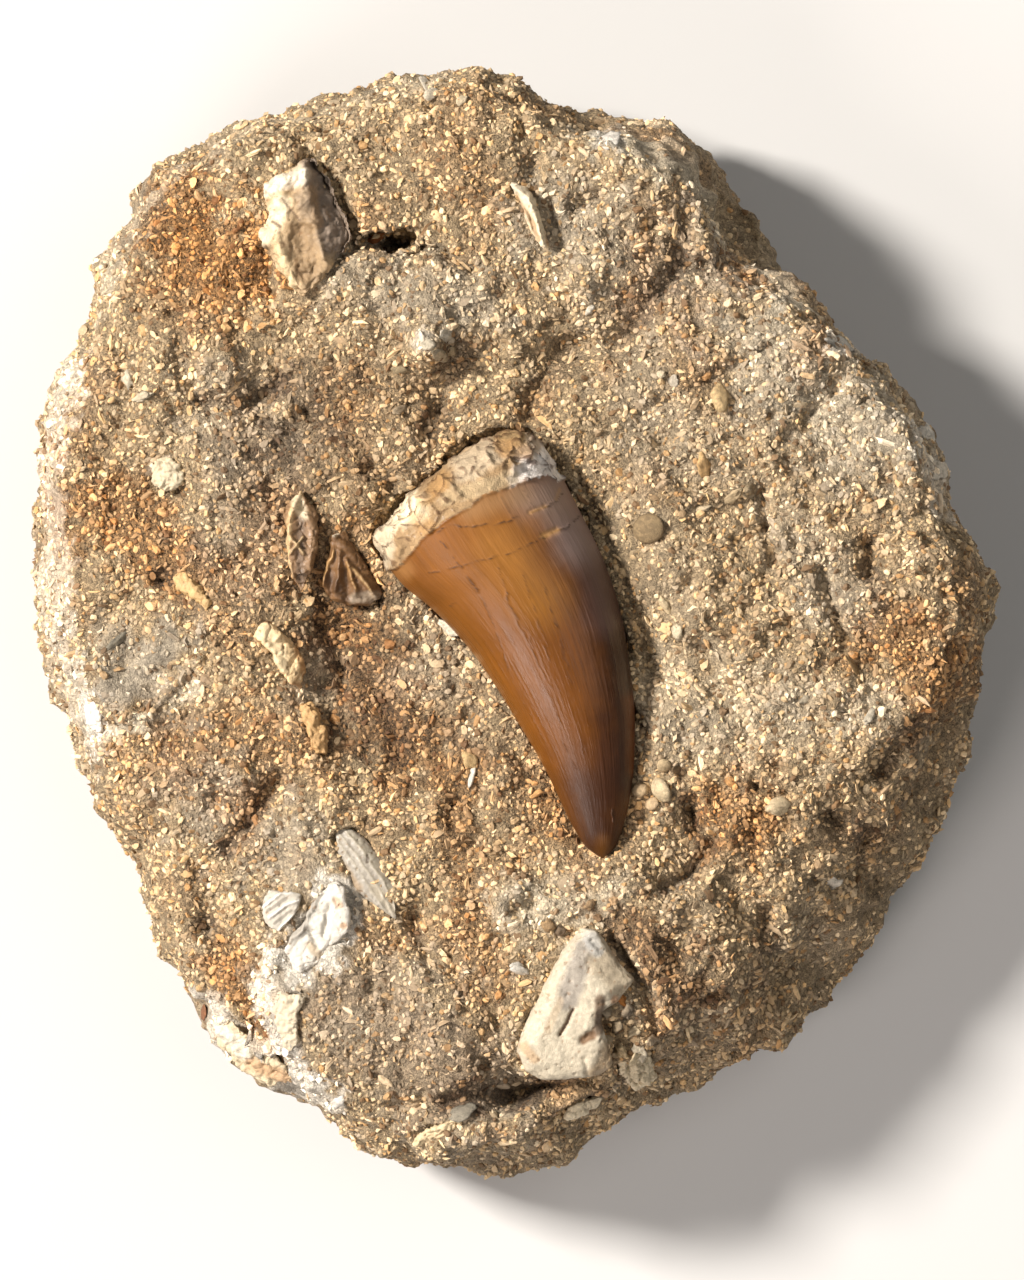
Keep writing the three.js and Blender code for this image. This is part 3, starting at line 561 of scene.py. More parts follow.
rockSettings = {
    # painted shade: the rock skin that shows between the loose grains is darkened all over
    "paintedShadeUnderGrains": 0.84,
    # below the rim the stains wander and fade
    "rimLevel": 25.0,
    "straySize": 7.0,
    "strayDepth": 12,
    "fade": 0.8,
    "fadeDepths": (2, 10),
    "warmShare": 0.35,
    "coolShare": 0.4,
    "voxel": 0.45,
    "smoothing": 10,
    "plugSink": 0.35,
    "plugGrow": 0.45,
    "fragmentRise": 0.28,
    "triangles": 190000,
    "bumps": [(10.0, 1.1), (4.6, 1.0), (2.1, 0.62), (0.95, 0.32)],
    "strokeGain": 1.7,
    "sideBumps": [(6.0, 0.6), (2.4, 0.5)],
    "sideSink": 0.15,
    # leans and heights between which side turns to face, and foot to body
    "faceLeans": (0.35, 0.75),
    "footLevels": (0.6, 2.5),
    "baseSkin": 0.03,
    # cuts, ledges and lumps of the face: path, half width and lift
    "strokes": [
        ([(-18.8, 39.7), (-16.2, 41.0), (-11.8, 41.3), (-7.4, 40.6), (-4.1, 38.4)], 0.55, -0.9),
        ([(-18.1, 38.6), (-14.2, 39.7), (-9.8, 39.7), (-6.0, 38.2)], 1.0, 0.5),
        ([(-13.3, 41.5), (-10.9, 41.6)], 0.9, -3.0),
        ([(-7.1, -52.9), (-1.0, -52.0), (5.6, -51.6)], 1.1, -0.9),
        ([(-4.3, -50.9), (3.9, -50.5)], 0.6, -0.6),
        ([(7.2, -50.5), (11.1, -51.2)], 0.7, -1.0),
        ([(-8.9, 30.1)], 2.2, 1.5),
        (facePaths["aboveRoot"], 1.3, -0.9),
        ([(-23.0, 52.7), (-19.7, 48.8), (-17.3, 42.2)], 1.1, -1.0),
        ([(-26.9, 40.4), (-26.5, 36.4)], 1.0, -1.0),
        ([(-34.0, 23.9), (-29.6, 23.2), (-26.5, 25.0), (-24.1, 26.5)], 0.9, -0.9),
        (facePaths["besideRoot"], 1.3, -0.9),
        ([(-23.0, 20.8), (-18.1, 22.4)], 2.4, -0.5),
        (facePaths["leftHole"], 1.0, -1.2),
        ([(-29.6, 6.5), (-28.3, 7.8)], 0.9, -0.8),
        ([(-37.9, 35.1), (-38.6, 24.1), (-39.5, 19.7)], 1.8, 0.6),
        ([(7.5, 53.8)], 0.7, -0.8),
        ([(2.6, 50.1)], 0.8, -0.8),
        ([(4.5, 45.5), (5.8, 41.1)], 0.8, -0.8),
        ([(6.9, 45.3), (9.8, 46.5)], 0.9, -0.7),
        ([(20.1, 45.5), (19.0, 40.0), (15.7, 35.1), (12.7, 30.7), (6.9, 30.1), (3.9, 26.1),
          (2.3, 22.8)], 1.4, -1.0),
        ([(15.3, 43.3)], 1.0, -0.9),
        ([(10.0, 37.8)], 4.0, 0.9),
        ([(19.9, 39.3), (25.9, 38.9), (30.9, 36.7)], 1.3, -0.8),
        ([(18.8, 32.9), (19.9, 27.4)], 2.2, 0.6),
        ([(12.2, 20.6), (16.8, 19.9)], 1.3, -0.7),
        ([(27.9, 14.2), (28.1, 10.9), (29.2, 6.5), (27.0, 3.2)], 0.7, -0.8),
        (facePaths["rightSlot"], 1.3, -1.2),
        ([(34.2, 4.8), (35.3, 2.1), (36.9, -2.3)], 0.9, -0.9),
        ([(35.8, 25.7), (32.0, 20.8), (29.2, 19.5)], 0.8, -0.6),
        (facePaths["rightHole"], 1.3, -0.9),
        ([(33.3, 14.2)], 1.0, -0.7),
        ([(18.8, 13.1), (25.4, 14.0)], 0.6, 0.5),
        ([(7.2, 16.4), (14.4, 2.1), (15.5, -8.9)], 1.0, -0.5),
        ([(-44.5, -10.9), (-39.5, -10.5), (-35.7, -5.8), (-30.5, -0.7)], 0.5, 0.6),
        ([(-42.8, -5.1), (-39.5, -6.7)], 2.2, -0.5),
        (facePaths["belowShard"], 1.0, -0.6),
        ([(-19.7, 2.1), (-17.5, -8.9), (-14.4, -17.2)], 3.8, -0.7),
        ([(-21.0, 24.1), (-23.0, 16.4)], 3.4, -0.5),
        ([(-13.7, -9.5), (-12.2, -15.5)], 1.3, -0.7),
        ([(-30.9, -24.9), (-28.5, -22.3), (-27.2, -19.4), (-25.8, -17.7)], 1.0, -1.1),
        (facePaths["lowerLeftHole"], 1.5, -1.3),
        ([(-29.6, -42.8), (-27.4, -46.3)], 0.9, -0.9),
        (facePaths["chalkRidge"], 1.0, 0.6),
        ([(-10.4, -32.9), (-8.7, -37.7)], 1.1, -0.8),
        ([(-6.5, -21.2), (-6.3, -22.3)], 1.0, -0.7),
        ([(18.8, -17.2)], 0.5, -0.8),
        (facePaths["lowerRightCut"], 1.0, -1.3),
        (facePaths["shortCut"], 0.9, -0.9),
        ([(27.3, -18.6), (30.3, -19.6)], 0.7, -0.9),
        ([(40.8, -16.8), (43.0, -13.9), (45.2, -11.3)], 0.9, -1.0),
        ([(35.8, -22.1)], 0.9, -1.1),
        ([(40.2, -23.2), (39.5, -26.0), (41.0, -29.3)], 1.0, -1.1),
        (facePaths["longCut"], 1.0, -1.0),
        (facePaths["wideCut"], 1.3, -0.9),
        ([(11.3, -35.3), (15.5, -41.9), (16.0, -46.3)], 0.8, -1.2),
        ([(33.6, -28.7), (36.2, -30.4)], 0.7, -0.9),
        ([(21.0, 51.6), (25.9, 44.4), (32.0, 37.8)], 0.9, -0.5),
        ([(11.1, 54.7), (16.6, 51.6), (21.2, 45.9), (23.4, 42.2)], 0.8, 0.6),
        ([(-15.9, -21.9), (-15.1, -26.7)], 0.5, -0.6),
        ([(-8.7, -43.0), (-4.3, -50.2)], 1.1, 0.5),
        ([(12.2, -30.9), (21.0, -31.5), (27.6, -34.8)], 1.2, 0.5),
        ([(-0.5, -53.1), (3.9, -51.4)], 0.9, -1.4),
        (facePaths["frontCut"], 0.8, -1.2),
        ([(-19.2, -51.3), (-14.2, -54.0), (-6.5, -53.5)], 1.0, -0.5),
        ([(-36.2, -41.9), (-27.2, -51.3), (-23.0, -52.9)], 0.7, -0.5),
    ],
    # faint marks of the tool that cleared the tooth
    "toolMarks": {
        "first": (14.4, 22.4),
        "run": (23.0, 12.5),
        "step": (1.7, -3.0),
        "count": 9,
        "width": 0.45,
        "depth": -0.42,
    },
    "pits": {
        "count": 420,
        "smallest": 0.35,
        "largest": 0.8,
        "depth": 0.7,
        "halfSizes": (53, 61),
        "reach": 0.97,
        "seed": 11,
    },
    # colour patches of the face: path, half width, colour and strength; the shadow patches are painted
    # shade in cuts and hollows, in part real brown staining
    "stains": [
        ([(-39.5, 47.2), (-35.1, 42.2), (-30.7, 38.4)], 6.2, "ochre", 0.75),
        ([(-40.6, 42.2), (-37.9, 44.4)], 3.0, "brown", 0.4),
        ([(-48.3, 12.0), (-40.6, 10.9), (-36.8, 6.5)], 5.0, "ochre", 0.6),
        ([(-45.6, 26.3), (-48.3, 19.7)], 3.5, "ochre", 0.35),
        ([(-30.7, -38.1), (-26.3, -44.7)], 3.6, "ochre", 0.7),
        ([(41.9, -2.3), (48.5, -7.8)], 5.2, "ochre", 0.6),
        ([(23.7, -19.9), (25.9, -23.2)], 4.2, "ochre", 0.55),
        ([(-39.5, -12.2), (-24.1, -13.9)], 5.5, "ochre", 0.4),
        ([(21.0, 39.3), (27.6, 38.4)], 3.2, "brown", 0.55),
        ([(25.4, 38.4), (32.0, 36.7)], 2.0, "ochre", 0.6),
        ([(-6.0, -16.6), (-3.2, -40.3)], 3.6, "ochre", 0.35),
        ([(-16.4, 25.2), (-9.8, 21.9)], 5.0, "brown", 0.25),
        ([(-19.7, -0.1), (-4.3, -11.1)], 6.0, "brown", 0.22),
        ([(8.9, -27.6), (5.6, -19.9)], 2.6, "ochre", 0.4),
        ([(-34.0, -18.8), (-23.0, -26.5)], 5.5, "grey", 0.7),
        ([(-43.9, -3.4), (-37.3, -8.9)], 4.2, "grey", 0.6),
        ([(-17.0, 37.8), (-4.3, 35.1)], 4.2, "grey", 0.6),
        ([(-18.1, -41.9), (-4.3, -51.8)], 8.5, "grey", 0.7),
        ([(5.6, 44.4), (18.8, 37.3)], 6.5, "grey", 0.6),
        ([(27.6, 29.6), (40.8, 19.7)], 7.0, "grey", 0.55),
        ([(14.4, 30.7), (16.6, 15.3)], 5.0, "grey", 0.4),
        ([(30.9, 10.9), (37.5, 2.1)], 4.5, "grey", 0.45),
        ([(0.6, -31.5), (10.5, -31.5)], 3.6, "pale", 0.7),
        ([(14.4, -37.5), (21.0, -43.0)], 5.5, "grey", 0.5),
        ([(13.3, -34.2), (19.9, -40.8)], 3.8, "brown", 0.8),
        ([(10.0, 54.3), (19.9, 49.9), (30.9, 36.7)], 2.6, "pale", 0.75),
        ([(45.7, 21.3), (48.5, 13.1)], 2.2, "white", 0.5),
        ([(30.9, -45.2), (43.0, -30.9), (50.7, -15.5)], 5.5, "brown", 0.5),
        ([(21.0, -49.6), (28.7, -47.4)], 4.5, "brown", 0.4),
        ([(40.8, -8.9), (37.5, -11.1)], 3.0, "pale", 0.5),
        # painted light: the left rim, which faces the key lamp, is whitened over its real pale crust
        ([(-49.4, 26.3), (-51.6, 15.3), (-50.5, -0.1), (-47.8, -15.5)], 2.8, "white", 0.45),
        ([(-49.4, 26.3), (-43.9, 40.6), (-37.3, 51.6)], 1.8, "pale", 0.6),
        ([(-38.4, 50.5), (-27.4, 57.1), (-9.8, 60.2)], 2.0, "pale", 0.5),
        ([(-33.5, -43.0), (-23.0, -51.8)], 2.4, "white", 0.55),
        ([(-9.6, 30.7)], 1.6, "white", 0.5),
        ([(-38.2, 16.6)], 1.5, "white", 0.5),
        ([(-18.1, 26.3), (-16.4, 13.1), (-18.6, 3.2)], 3.0, "brown", 0.4),
        ([(-30.7, 24.1), (-27.4, 16.4), (-29.6, 6.5)], 6.0, "grey", 0.55),
        ([(-29.6, 19.7), (-28.5, 10.9)], 4.5, "brown", 0.3),
        (facePaths["aboveRoot"], 1.8, "shadow", 0.5),
        (facePaths["besideRoot"], 1.4, "shadow", 0.5),
        ([(-34.0, 23.9), (-26.5, 25.0), (-24.1, 26.5)], 1.2, "shadow", 0.45),
        (facePaths["belowShard"], 1.7, "shadow", 0.55),
        ([(-21.9, 25.2), (-23.6, 15.3)], 5.0, "shadow", 0.5),
        ([(-17.0, 2.1), (-14.8, -12.2)], 5.5, "shadow", 0.58),
        ([(-17.5, -43.0), (-5.4, -50.7)], 6.5, "brown", 0.35),
        ([(29.8, 29.6), (40.8, 19.7)], 5.0, "pale", 0.4),
        ([(-18.6, -2.3), (-9.8, -15.5)], 4.6, "ochre", 0.35),
        # painted shade in the trough left of the tooth's lower half, in brown
        ([(-7.6, -13.3), (-4.9, -21.0)], 4.5, "brown", 0.4),
        (facePaths["greyDip"], 3.0, "grey", 0.8),
        ([(-16.4, -0.1), (-12.0, -15.5)], 3.6, "brown", 0.5),
        ([(-13.3, -9.5), (-12.2, -15.5)], 1.4, "shadow", 0.5),
        ([(-30.9, -24.9), (-27.2, -19.4)], 1.5, "shadow", 0.6),
        (facePaths["lowerLeftHole"], 1.7, "shadow", 0.6),
        (facePaths["leftHole"], 1.2, "shadow", 0.8),
        ([(20.1, 45.5), (19.0, 40.0), (15.7, 35.1), (12.7, 30.7)], 1.4, "shadow", 0.45),
        ([(6.9, 30.1), (3.9, 26.1), (2.3, 22.8)], 1.8, "shadow", 0.35),
        (facePaths["rightSlot"], 1.2, "shadow", 0.5),
        (facePaths["rightHole"], 1.5, "shadow", 0.4),
        (facePaths["lowerRightCut"], 1.2, "shadow", 0.6),
        (facePaths["shortCut"], 1.2, "shadow", 0.5),
        ([(40.8, -16.8), (45.2, -11.3)], 1.2, "shadow", 0.5),
        ([(35.8, -22.1), (40.2, -23.8), (41.0, -29.3)], 1.6, "shadow", 0.5),
        (facePaths["longCut"], 1.2, "shadow", 0.5),
        (facePaths["wideCut"], 1.8, "shadow", 0.45),
        ([(-6.5, -52.7), (-0.5, -52.5), (5.6, -51.2)], 1.8, "shadow", 0.7),
        (facePaths["bladeGap"], 0.9, "shadow", 0.8),
        (facePaths["chalkPatch"], 2.9, "white", 0.9),
        ([(-26.1, -37.7), (-27.2, -41.9), (-25.0, -46.9)], 1.2, "white", 0.8),
        (facePaths["frontCut"], 1.0, "shadow", 0.7),
        (facePaths["topScrap"], 1.6, "white", 0.6),
        ([(36.4, 30.5)], 1.6, "white", 0.8),
        (facePaths["leftScrap"], 1.7, "white", 0.9),
        ([(-45.0, -12.8), (-38.4, -10.6), (-35.1, -7.8)], 0.9, "pale", 0.8),
        ([(-33.5, -43.6), (-29.6, -48.5), (-20.3, -53.5)], 2.2, "white", 0.7),
        (facePaths["chalkRidge"], 1.6, "white", 0.5),
        ([(18.8, -8.9), (27.6, -11.1)], 6.5, "pale", 0.35),
    ],
    "crustEdge": (0.6, 1.2),
    "cover": 0.92,
    "coverWaver": 0.3,
    "coverFoot": (0.9, 2.0),
    "coverLeans": (0.25, 0.6),
    # grain size in millimetres, contrast, seams, relief, roughness, coat and share of pores, the pores'
    # crevices carrying painted shade
    "finish": (0.5, 0.9, 0.2, 0.22, 0.92, 0.0, "open"),
    # how open the crumb is, and so how much painted shade its crevices take, from grey rock to warm rock
    "open": (0.3, 0.95),
    "warmths": (0.4, 0.8),
    # smooth or fine-grained crust that carries few loose grains
    "crusts": [
        ([(10.0, 55.1), (21.0, 50.5), (32.0, 36.7)], 2.4, 0.6),
        ([(-46.7, 2.1), (-49.4, 13.1)], 2.0, 0.4),
        ([(-23.0, -26.5), (-18.1, -37.5)], 2.6, 0.5),
        ([(-14.2, -51.8), (-6.5, -48.5)], 3.0, 0.4),
        ([(14.4, 13.1), (21.0, -2.3)], 4.5, 0.35),
        ([(5.6, 29.6), (10.0, 24.1)], 3.0, 0.3),
        ([(15.3, 10.0)], 1.9, 1.0),
        (facePaths["chalkPatch"], 2.6, 0.85),
        (facePaths["leftScrap"], 1.4, 0.9),
        ([(-25.2, -40.3), (-24.3, -46.3)], 1.8, 0.75),
        ([(-33.5, -43.0), (-29.1, -49.1), (-20.8, -53.5)], 2.6, 0.8),
        (facePaths["bladeGap"], 0.9, 0.9),
        ([(19.9, 52.7), (25.4, 46.1), (32.0, 39.5)], 3.0, 0.8),
        (facePaths["topScrap"], 1.6, 0.6),
        ([(49.6, -8.9), (43.0, -28.7), (32.0, -41.9)], 1.8, 0.5),
        (facePaths["greyDip"], 3.0, 0.6),
    ],
}


def toolMarkStrokes(marks):
    strokes = []
    for number in range(marks["count"]):
        x = marks["first"][0] + marks["step"][0] * number
        y = marks["first"][1] + marks["step"][1] * number
        end = (x + marks["run"][0], y + marks["run"][1])
        strokes.append(([(x, y), end], marks["width"], marks["depth"]))
    return strokes


def pitRise(points, pits):
    # small round holes where grains have dropped out
    generator = np.random.default_rng(pits["seed"])
    rise = np.zeros(len(points))
    for _ in range(pits["count"]):
        turn = generator.uniform(0, 2 * math.pi)
        away = math.sqrt(generator.uniform()) * pits["reach"]
        wide, tall = pits["halfSizes"]
        middle = np.array([wide * away * math.cos(turn), tall * away * math.sin(turn)])
        width = generator.uniform(pits["smallest"], pits["largest"])
        near = np.abs(points[:, 0] - middle[0]) < 3 * width
        gap = np.hypot(points[near, 0] - middle[0], points[near, 1] - middle[1])
        rise[near] -= pits["depth"] * np.exp(-(gap / width) ** 2)
    return rise


def strayed(points, depth, settings):
    # below the rim the stains wander, so that none runs straight down the side
    drift = wandered(points, settings["straySize"], 1.0, 35) - points
    return points + drift * np.minimum(depth, settings["strayDepth"])


def stoneTone(points, settings):
    codes = stoneColours
    depth = np.maximum(settings["rimLevel"] - points[:, 2], 0)[:, None]
    moved = strayed(points, depth, settings)
    hold = 1 - settings["fade"] * smoothStep(depth, *settings["fadeDepths"])
    stains = [(path, width, codes[name], strength) for path, width, name, strength in settings["stains"]]
    chalk = [stain for stain in stains if stain[2] == codes["white"]]
    others = [stain for stain in stains if stain not in chalk]
    tone = plainTone(points, codes["sand"])
    tone = blended(tone, stained(tone, moved, others, 0.9), hold)
    broad = gradientNoise(points, 14.0, 31) + 0.7 * gradientNoise(points, 6.0, 32)
    warm = smoothStep(broad, 0.1, 0.9)[:, None] * settings["warmShare"]
    cool = smoothStep(-broad, 0.1, 0.9)[:, None] * settings["coolShare"]
    tone = blended(tone, colour(codes["ochre"]), warm)
    tone = blended(tone, colour(codes["grey"]), cool)
    tone = blended(tone, stained(tone, moved, chalk, 0.7, (0.8, 1.0)), hold)
    return tone * uneven(points, ((0.22, 3.0, 33), (0.14, 1.2, 34)))


def flatUnderside(mesh, highest):
    # the flat base needs no fine faces
    work = bmesh.new()
    work.from_mesh(mesh)
    flat = [face for face in work.faces if all(vert.co.z < highest * mm for vert in face.verts)]
    bmesh.ops.dissolve_faces(work, faces=flat, use_verts=True)
    work.to_mesh(mesh)
    work.free()


def filledRock(settings):
    # the solid block, with each fragment's pocket filled to just below the face
    work = bmesh.new()
    body = weldedCopy("matrix")
    work.from_mesh(body)
    for name in nodes:
        if name in ("matrix", "tooth"):
            continue
        plug = weldedCopy(name)
        points = meshPoints(plug) + pointNormals(plug) * settings["plugGrow"]
        rise = fragmentRise(name, settings["fragmentRise"])
        points[:, 2] -= settings["plugGrow"] + settings["plugSink"] + rise
        setPoints(plug, points)
        work.from_mesh(plug)
    work.to_mesh(body)
    work.free()
    return body


def rockLift(points, settings):
    # what the cuts, tool marks and pits add to the face
    lift = settings["strokeGain"] * strokeRise(points, settings["strokes"])
    lift += strokeRise(points, toolMarkStrokes(settings["toolMarks"]))
    return lift + pitRise(points, settings["pits"])


def makeRock(settings):
    mesh = remeshed(filledRock(settings), settings["voxel"], settings["smoothing"])
    points = meshPoints(mesh)
    normals = pointNormals(mesh)
    upward = smoothStep(normals[:, 2], *settings["faceLeans"])
    above = smoothStep(points[:, 2], *settings["footLevels"])
    rise = np.zeros(len(points))
    for at, (size, height) in enumerate(settings["bumps"]):
        rise += height * gradientNoise(points, size, 40 + at)
    for at, (size, height) in enumerate(settings["sideBumps"]):
        bump = height * (1 - upward) * gradientNoise(points, size, 50 + at)
        rise += bump - settings["sideSink"] * (1 - upward)
    lift = rockLift(points, settings)
    points += normals * (rise * above)[:, None]
    points[:, 2] += lift * upward * above
    skin = settings["baseSkin"]
    points[:, 2] = np.where(above < 0.02, np.minimum(points[:, 2], skin), points[:, 2])
    points[:, 2] = np.maximum(points[:, 2], 0.0)
    setPoints(mesh, points)
    flatUnderside(mesh, skin + 0.01)
    return thinned(mesh, settings["triangles"])


def thinned(mesh, triangles):
    # fewer faces where the rock is even
    mesh.calc_loop_triangles()
    helper = helperFor(mesh)
    fewer = helper.modifiers.new("fewer", "DECIMATE")
    fewer.ratio = min(triangles / len(mesh.loop_triangles), 1.0)
    return settled(helper)


def fragmentRise(name, share):
    # how far a fragment stands over the face, from its own height in the frame
    low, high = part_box(name)
    return share * (high.z - low.z) / mm


def coverOn(mesh, settings):
    # how thickly loose grains lie on the rock
    points = meshPoints(mesh)
    normals = pointNormals(mesh)
    cover = np.ones(len(points))
    for path, width, strength in settings["crusts"]:
        away, _ = awayFromPath(points, path)
        cover *= 1 - strength * (1 - smoothStep(away / width, *settings["crustEdge"]))
    cover *= settings["cover"] + settings["coverWaver"] * gradientNoise(points, 5.0, 71)
    cover *= smoothStep(points[:, 2], *settings["coverFoot"])
    up = smoothStep(normals[:, 2], *settings["coverLeans"])
    setShare(mesh, "coverFace", cover * up)
    setShare(mesh, "coverSide", cover * (1 - up))


def openShare(tone, settings):
    # brown and ochre rock is crumbly and takes more painted shade in its crevices, grey and white rock is
    # tight
    warmth = (tone[:, 0] - tone[:, 2]) / np.maximum(tone[:, 0], 0.01)
    low, high = settings["open"]
    return low + (high - low) * smoothStep(warmth, *settings["warmths"])


rockMaterial = mineralMaterial("phosphate_rock", *rockSettings["finish"])
rockMesh = makeRock(rockSettings)
rockPoints = meshPoints(rockMesh)
rockTone = stoneTone(rockPoints, rockSettings)
# the rock is darkened by the painted shade for the gaps between grains
setTone(rockMesh, rockTone * rockSettings["paintedShadeUnderGrains"])
setShare(rockMesh, "open", openShare(rockTone, rockSettings))
addPiece("rock", rockMesh, rockMaterial, ["matrix"])
ground = BVHTree.FromPolygons(
    [vert.co.copy() for vert in rockMesh.vertices],
    [list(face.vertices) for face in rockMesh.polygons],
)
print("rock made:", len(rockMesh.polygons), "faces")

# Loose grains on the rock

grainSettings = {
    "strips": [-60, -28, -9, 9, 28, 60],
    "spacing": 0.56,
    "smallest": 0.4,
    "largest": 1.05,
    "sideSpacing": 0.8,
    "hashSpacing": 1.5,
    "coarseGain": 1.35,
    "tilt": 0.85,
    "sink": -0.05,
    "seed": 3,
    "shadeSeed": 5,
    # shares of a grain's size, and the highest number drawn for its shape, which wraps round
    "thinnest": (0.75, 0.75, 0.75),
    "thickest": (1.25, 1.25, 1.25),
    "lastShape": 11,
    # grain size in millimetres, contrast and seams
    "grit": (0.3, 0.35, 0.0),
    "relief": 0.05,
    "roughness": 0.78,
    # a shade for each range of a grain's own number, from where it starts
    "colours": [
        (0.0, (0.36, 0.28, 0.21)),
        (0.1, (0.62, 0.59, 0.57)),
        (0.25, (0.82, 0.84, 0.89)),
        (0.42, (1.0, 0.96, 0.9)),
        (0.6, (1.18, 1.16, 1.12)),
        (0.75, (1.46, 1.5, 1.54)),
        (0.85, (1.12, 1.0, 0.82)),
        (0.94, (0.84, 0.66, 0.46)),
    ],
}


def shapedGrain(name, verts, faces, collection):
    mesh = bpy.data.meshes.new(name)
    mesh.from_pydata([tuple(vert) for vert in verts], [], faces)
    work = bmesh.new()
    work.from_mesh(mesh)
    bmesh.ops.recalc_face_normals(work, faces=work.faces)
    work.to_mesh(mesh)
    work.free()
    collection.objects.link(bpy.data.objects.new(name, mesh))


def barGrain(name, path, width, sides, collection):
    # a short bar or curl along a path, with pointed ends
    generator = np.random.default_rng(len(path) * 10 + sides)
    verts = [np.array(path[0])]
    for at in range(1, len(path) - 1):
        for side in range(sides):
            turn = 2 * math.pi * side / sides + at * 0.3
            away = width * generator.uniform(0.8, 1.2)
            verts.append(np.array(path[at]) + away * np.array([0.0, math.cos(turn), math.sin(turn)]))
    verts.append(np.array(path[-1]))
    rings = len(path) - 2
    faces = []
    last = len(verts) - 1
    for side in range(sides):
        after = (side + 1) % sides
        faces.append((0, 1 + side, 1 + after))
        faces.append((last, last - sides + after, last - sides + side))
        for ring in range(rings - 1):
            low = 1 + ring * sides
            high = low + sides
            faces.append((low + side, high + side, high + after, low + after))
    shapedGrain(name, verts, faces, collection)


def lumpGrain(name, subdivisions, squash, seed, collection):
    work = bmesh.new()
    bmesh.ops.create_icosphere(work, subdivisions=subdivisions, radius=0.5)
    generator = np.random.default_rng(seed)
    for vert in work.verts:
        vert.co *= generator.uniform(0.72, 1.15)
        vert.co.x *= squash[0]
        vert.co.y *= squash[1]
        vert.co.z *= squash[2]
    verts = [tuple(vert.co) for vert in work.verts]
    faces = [[vert.index for vert in face.verts] for face in work.faces]
    work.free()
    shapedGrain(name, verts, faces, collection)


def grainShapes():
    fine = bpy.data.collections.new("fineGrains")
    coarse = bpy.data.collections.new("coarseGrains")
    lumpGrain("grain_a", 1, (1.0, 0.9, 0.8), 1, fine)
    lumpGrain("grain_b", 1, (1.2, 0.8, 0.6), 2, fine)
    lumpGrain("grain_c", 1, (0.85, 0.95, 0.7), 3, fine)
    hook = [(-0.55, 0.34, 0), (-0.28, -0.1, 0), (0.3, -0.12, 0), (0.55, 0.36, 0)]
    barGrain("grain_d", hook, 0.17, 4, fine)
    lumpGrain("grain_e", 1, (1.1, 0.95, 0.34), 5, fine)
    barGrain("grain_f", [(-0.5, 0, 0), (0.0, 0, 0.0), (0.5, 0.05, 0)], 0.36, 4, fine)
    lumpGrain("hash_a", 2, (1.0, 0.8, 0.7), 11, coarse)
    lumpGrain("hash_b", 2, (1.2, 0.85, 0.3), 12, coarse)
    barGrain("hash_c", [(-0.9, 0, 0), (-0.5, 0.1, 0), (0.4, 0.1, 0), (0.9, -0.1, 0)], 0.2, 5, coarse)
    lumpGrain("hash_d", 2, (1.4, 0.55, 0.5), 14, coarse)
    barGrain("hash_e", [(-0.7, 0.3, 0), (-0.3, -0.1, 0), (0.3, -0.1, 0), (0.7, 0.3, 0)], 0.16, 5, coarse)
    return fine, coarse


def keepStrip(tree, given):
    # 1 between the strip's two sides and 0 beyond them
    split = addNode(tree, "ShaderNodeSeparateXYZ")
    feed(tree, split.inputs[0], addNode(tree, "GeometryNodeInputPosition").outputs[0])
    east = mathNode(tree, "GREATER_THAN", split.outputs["X"], given["From X"])
    west = mathNode(tree, "LESS_THAN", split.outputs["X"], given["To X"])
    return mathNode(tree, "MULTIPLY", east, west)


def scatterNode(tree, given):
    cover = addNode(tree, "GeometryNodeInputNamedAttribute", data_type="FLOAT")
    feed(tree, cover.inputs["Name"], given["Cover"])
    scatter = addNode(tree, "GeometryNodeDistributePointsOnFaces", distribute_method="POISSON")
    feed(tree, scatter.inputs["Mesh"], given["Geometry"])
    feed(tree, scatter.inputs["Selection"], keepStrip(tree, given))
    feed(tree, scatter.inputs["Distance Min"], given["Spacing"])
    scatter.inputs["Density Max"].default_value = 1e8
    feed(tree, scatter.inputs["Density Factor"], cover.outputs["Attribute"])
    feed(tree, scatter.inputs["Seed"], given["Seed"])
    return scatter


def scaleNode(tree, vector, factor):
    node = addNode(tree, "ShaderNodeVectorMath", operation="SCALE")
    feed(tree, node.inputs[0], vector)
    feed(tree, node.inputs["Scale"], factor)
    return node.outputs[0]


def randomNode(tree, kind, low, high, seed=0):
    # each kind of value has its own pair of inputs and its own output
    at = ("FLOAT_VECTOR", "FLOAT", "INT").index(kind)
    node = addNode(tree, "FunctionNodeRandomValue", data_type=kind)
    feed(tree, node.inputs[2 * at], low)
    feed(tree, node.inputs[2 * at + 1], high)
    feed(tree, node.inputs["Seed"], seed)
    return node.outputs[at]


def turnNode(tree, given, scatter):
    # a grain lies on the rock, tilted a little and spun at random
    lean = addNode(tree, "ShaderNodeCombineXYZ")
    for axis in ("X", "Y"):
        feed(tree, lean.inputs[axis], given["Tilt"])
    lean.inputs["Z"].default_value = math.pi
    back = scaleNode(tree, lean.outputs[0], -1.0)
    angles = addNode(tree, "FunctionNodeEulerToRotation")
    spin = randomNode(tree, "FLOAT_VECTOR", back, lean.outputs[0], given["Seed"])
    feed(tree, angles.inputs[0], spin)
    turned = addNode(tree, "FunctionNodeRotateRotation", rotation_space="LOCAL")
    feed(tree, turned.inputs["Rotation"], scatter.outputs["Rotation"])
    feed(tree, turned.inputs["Rotate By"], angles.outputs[0])
    return turned.outputs[0]


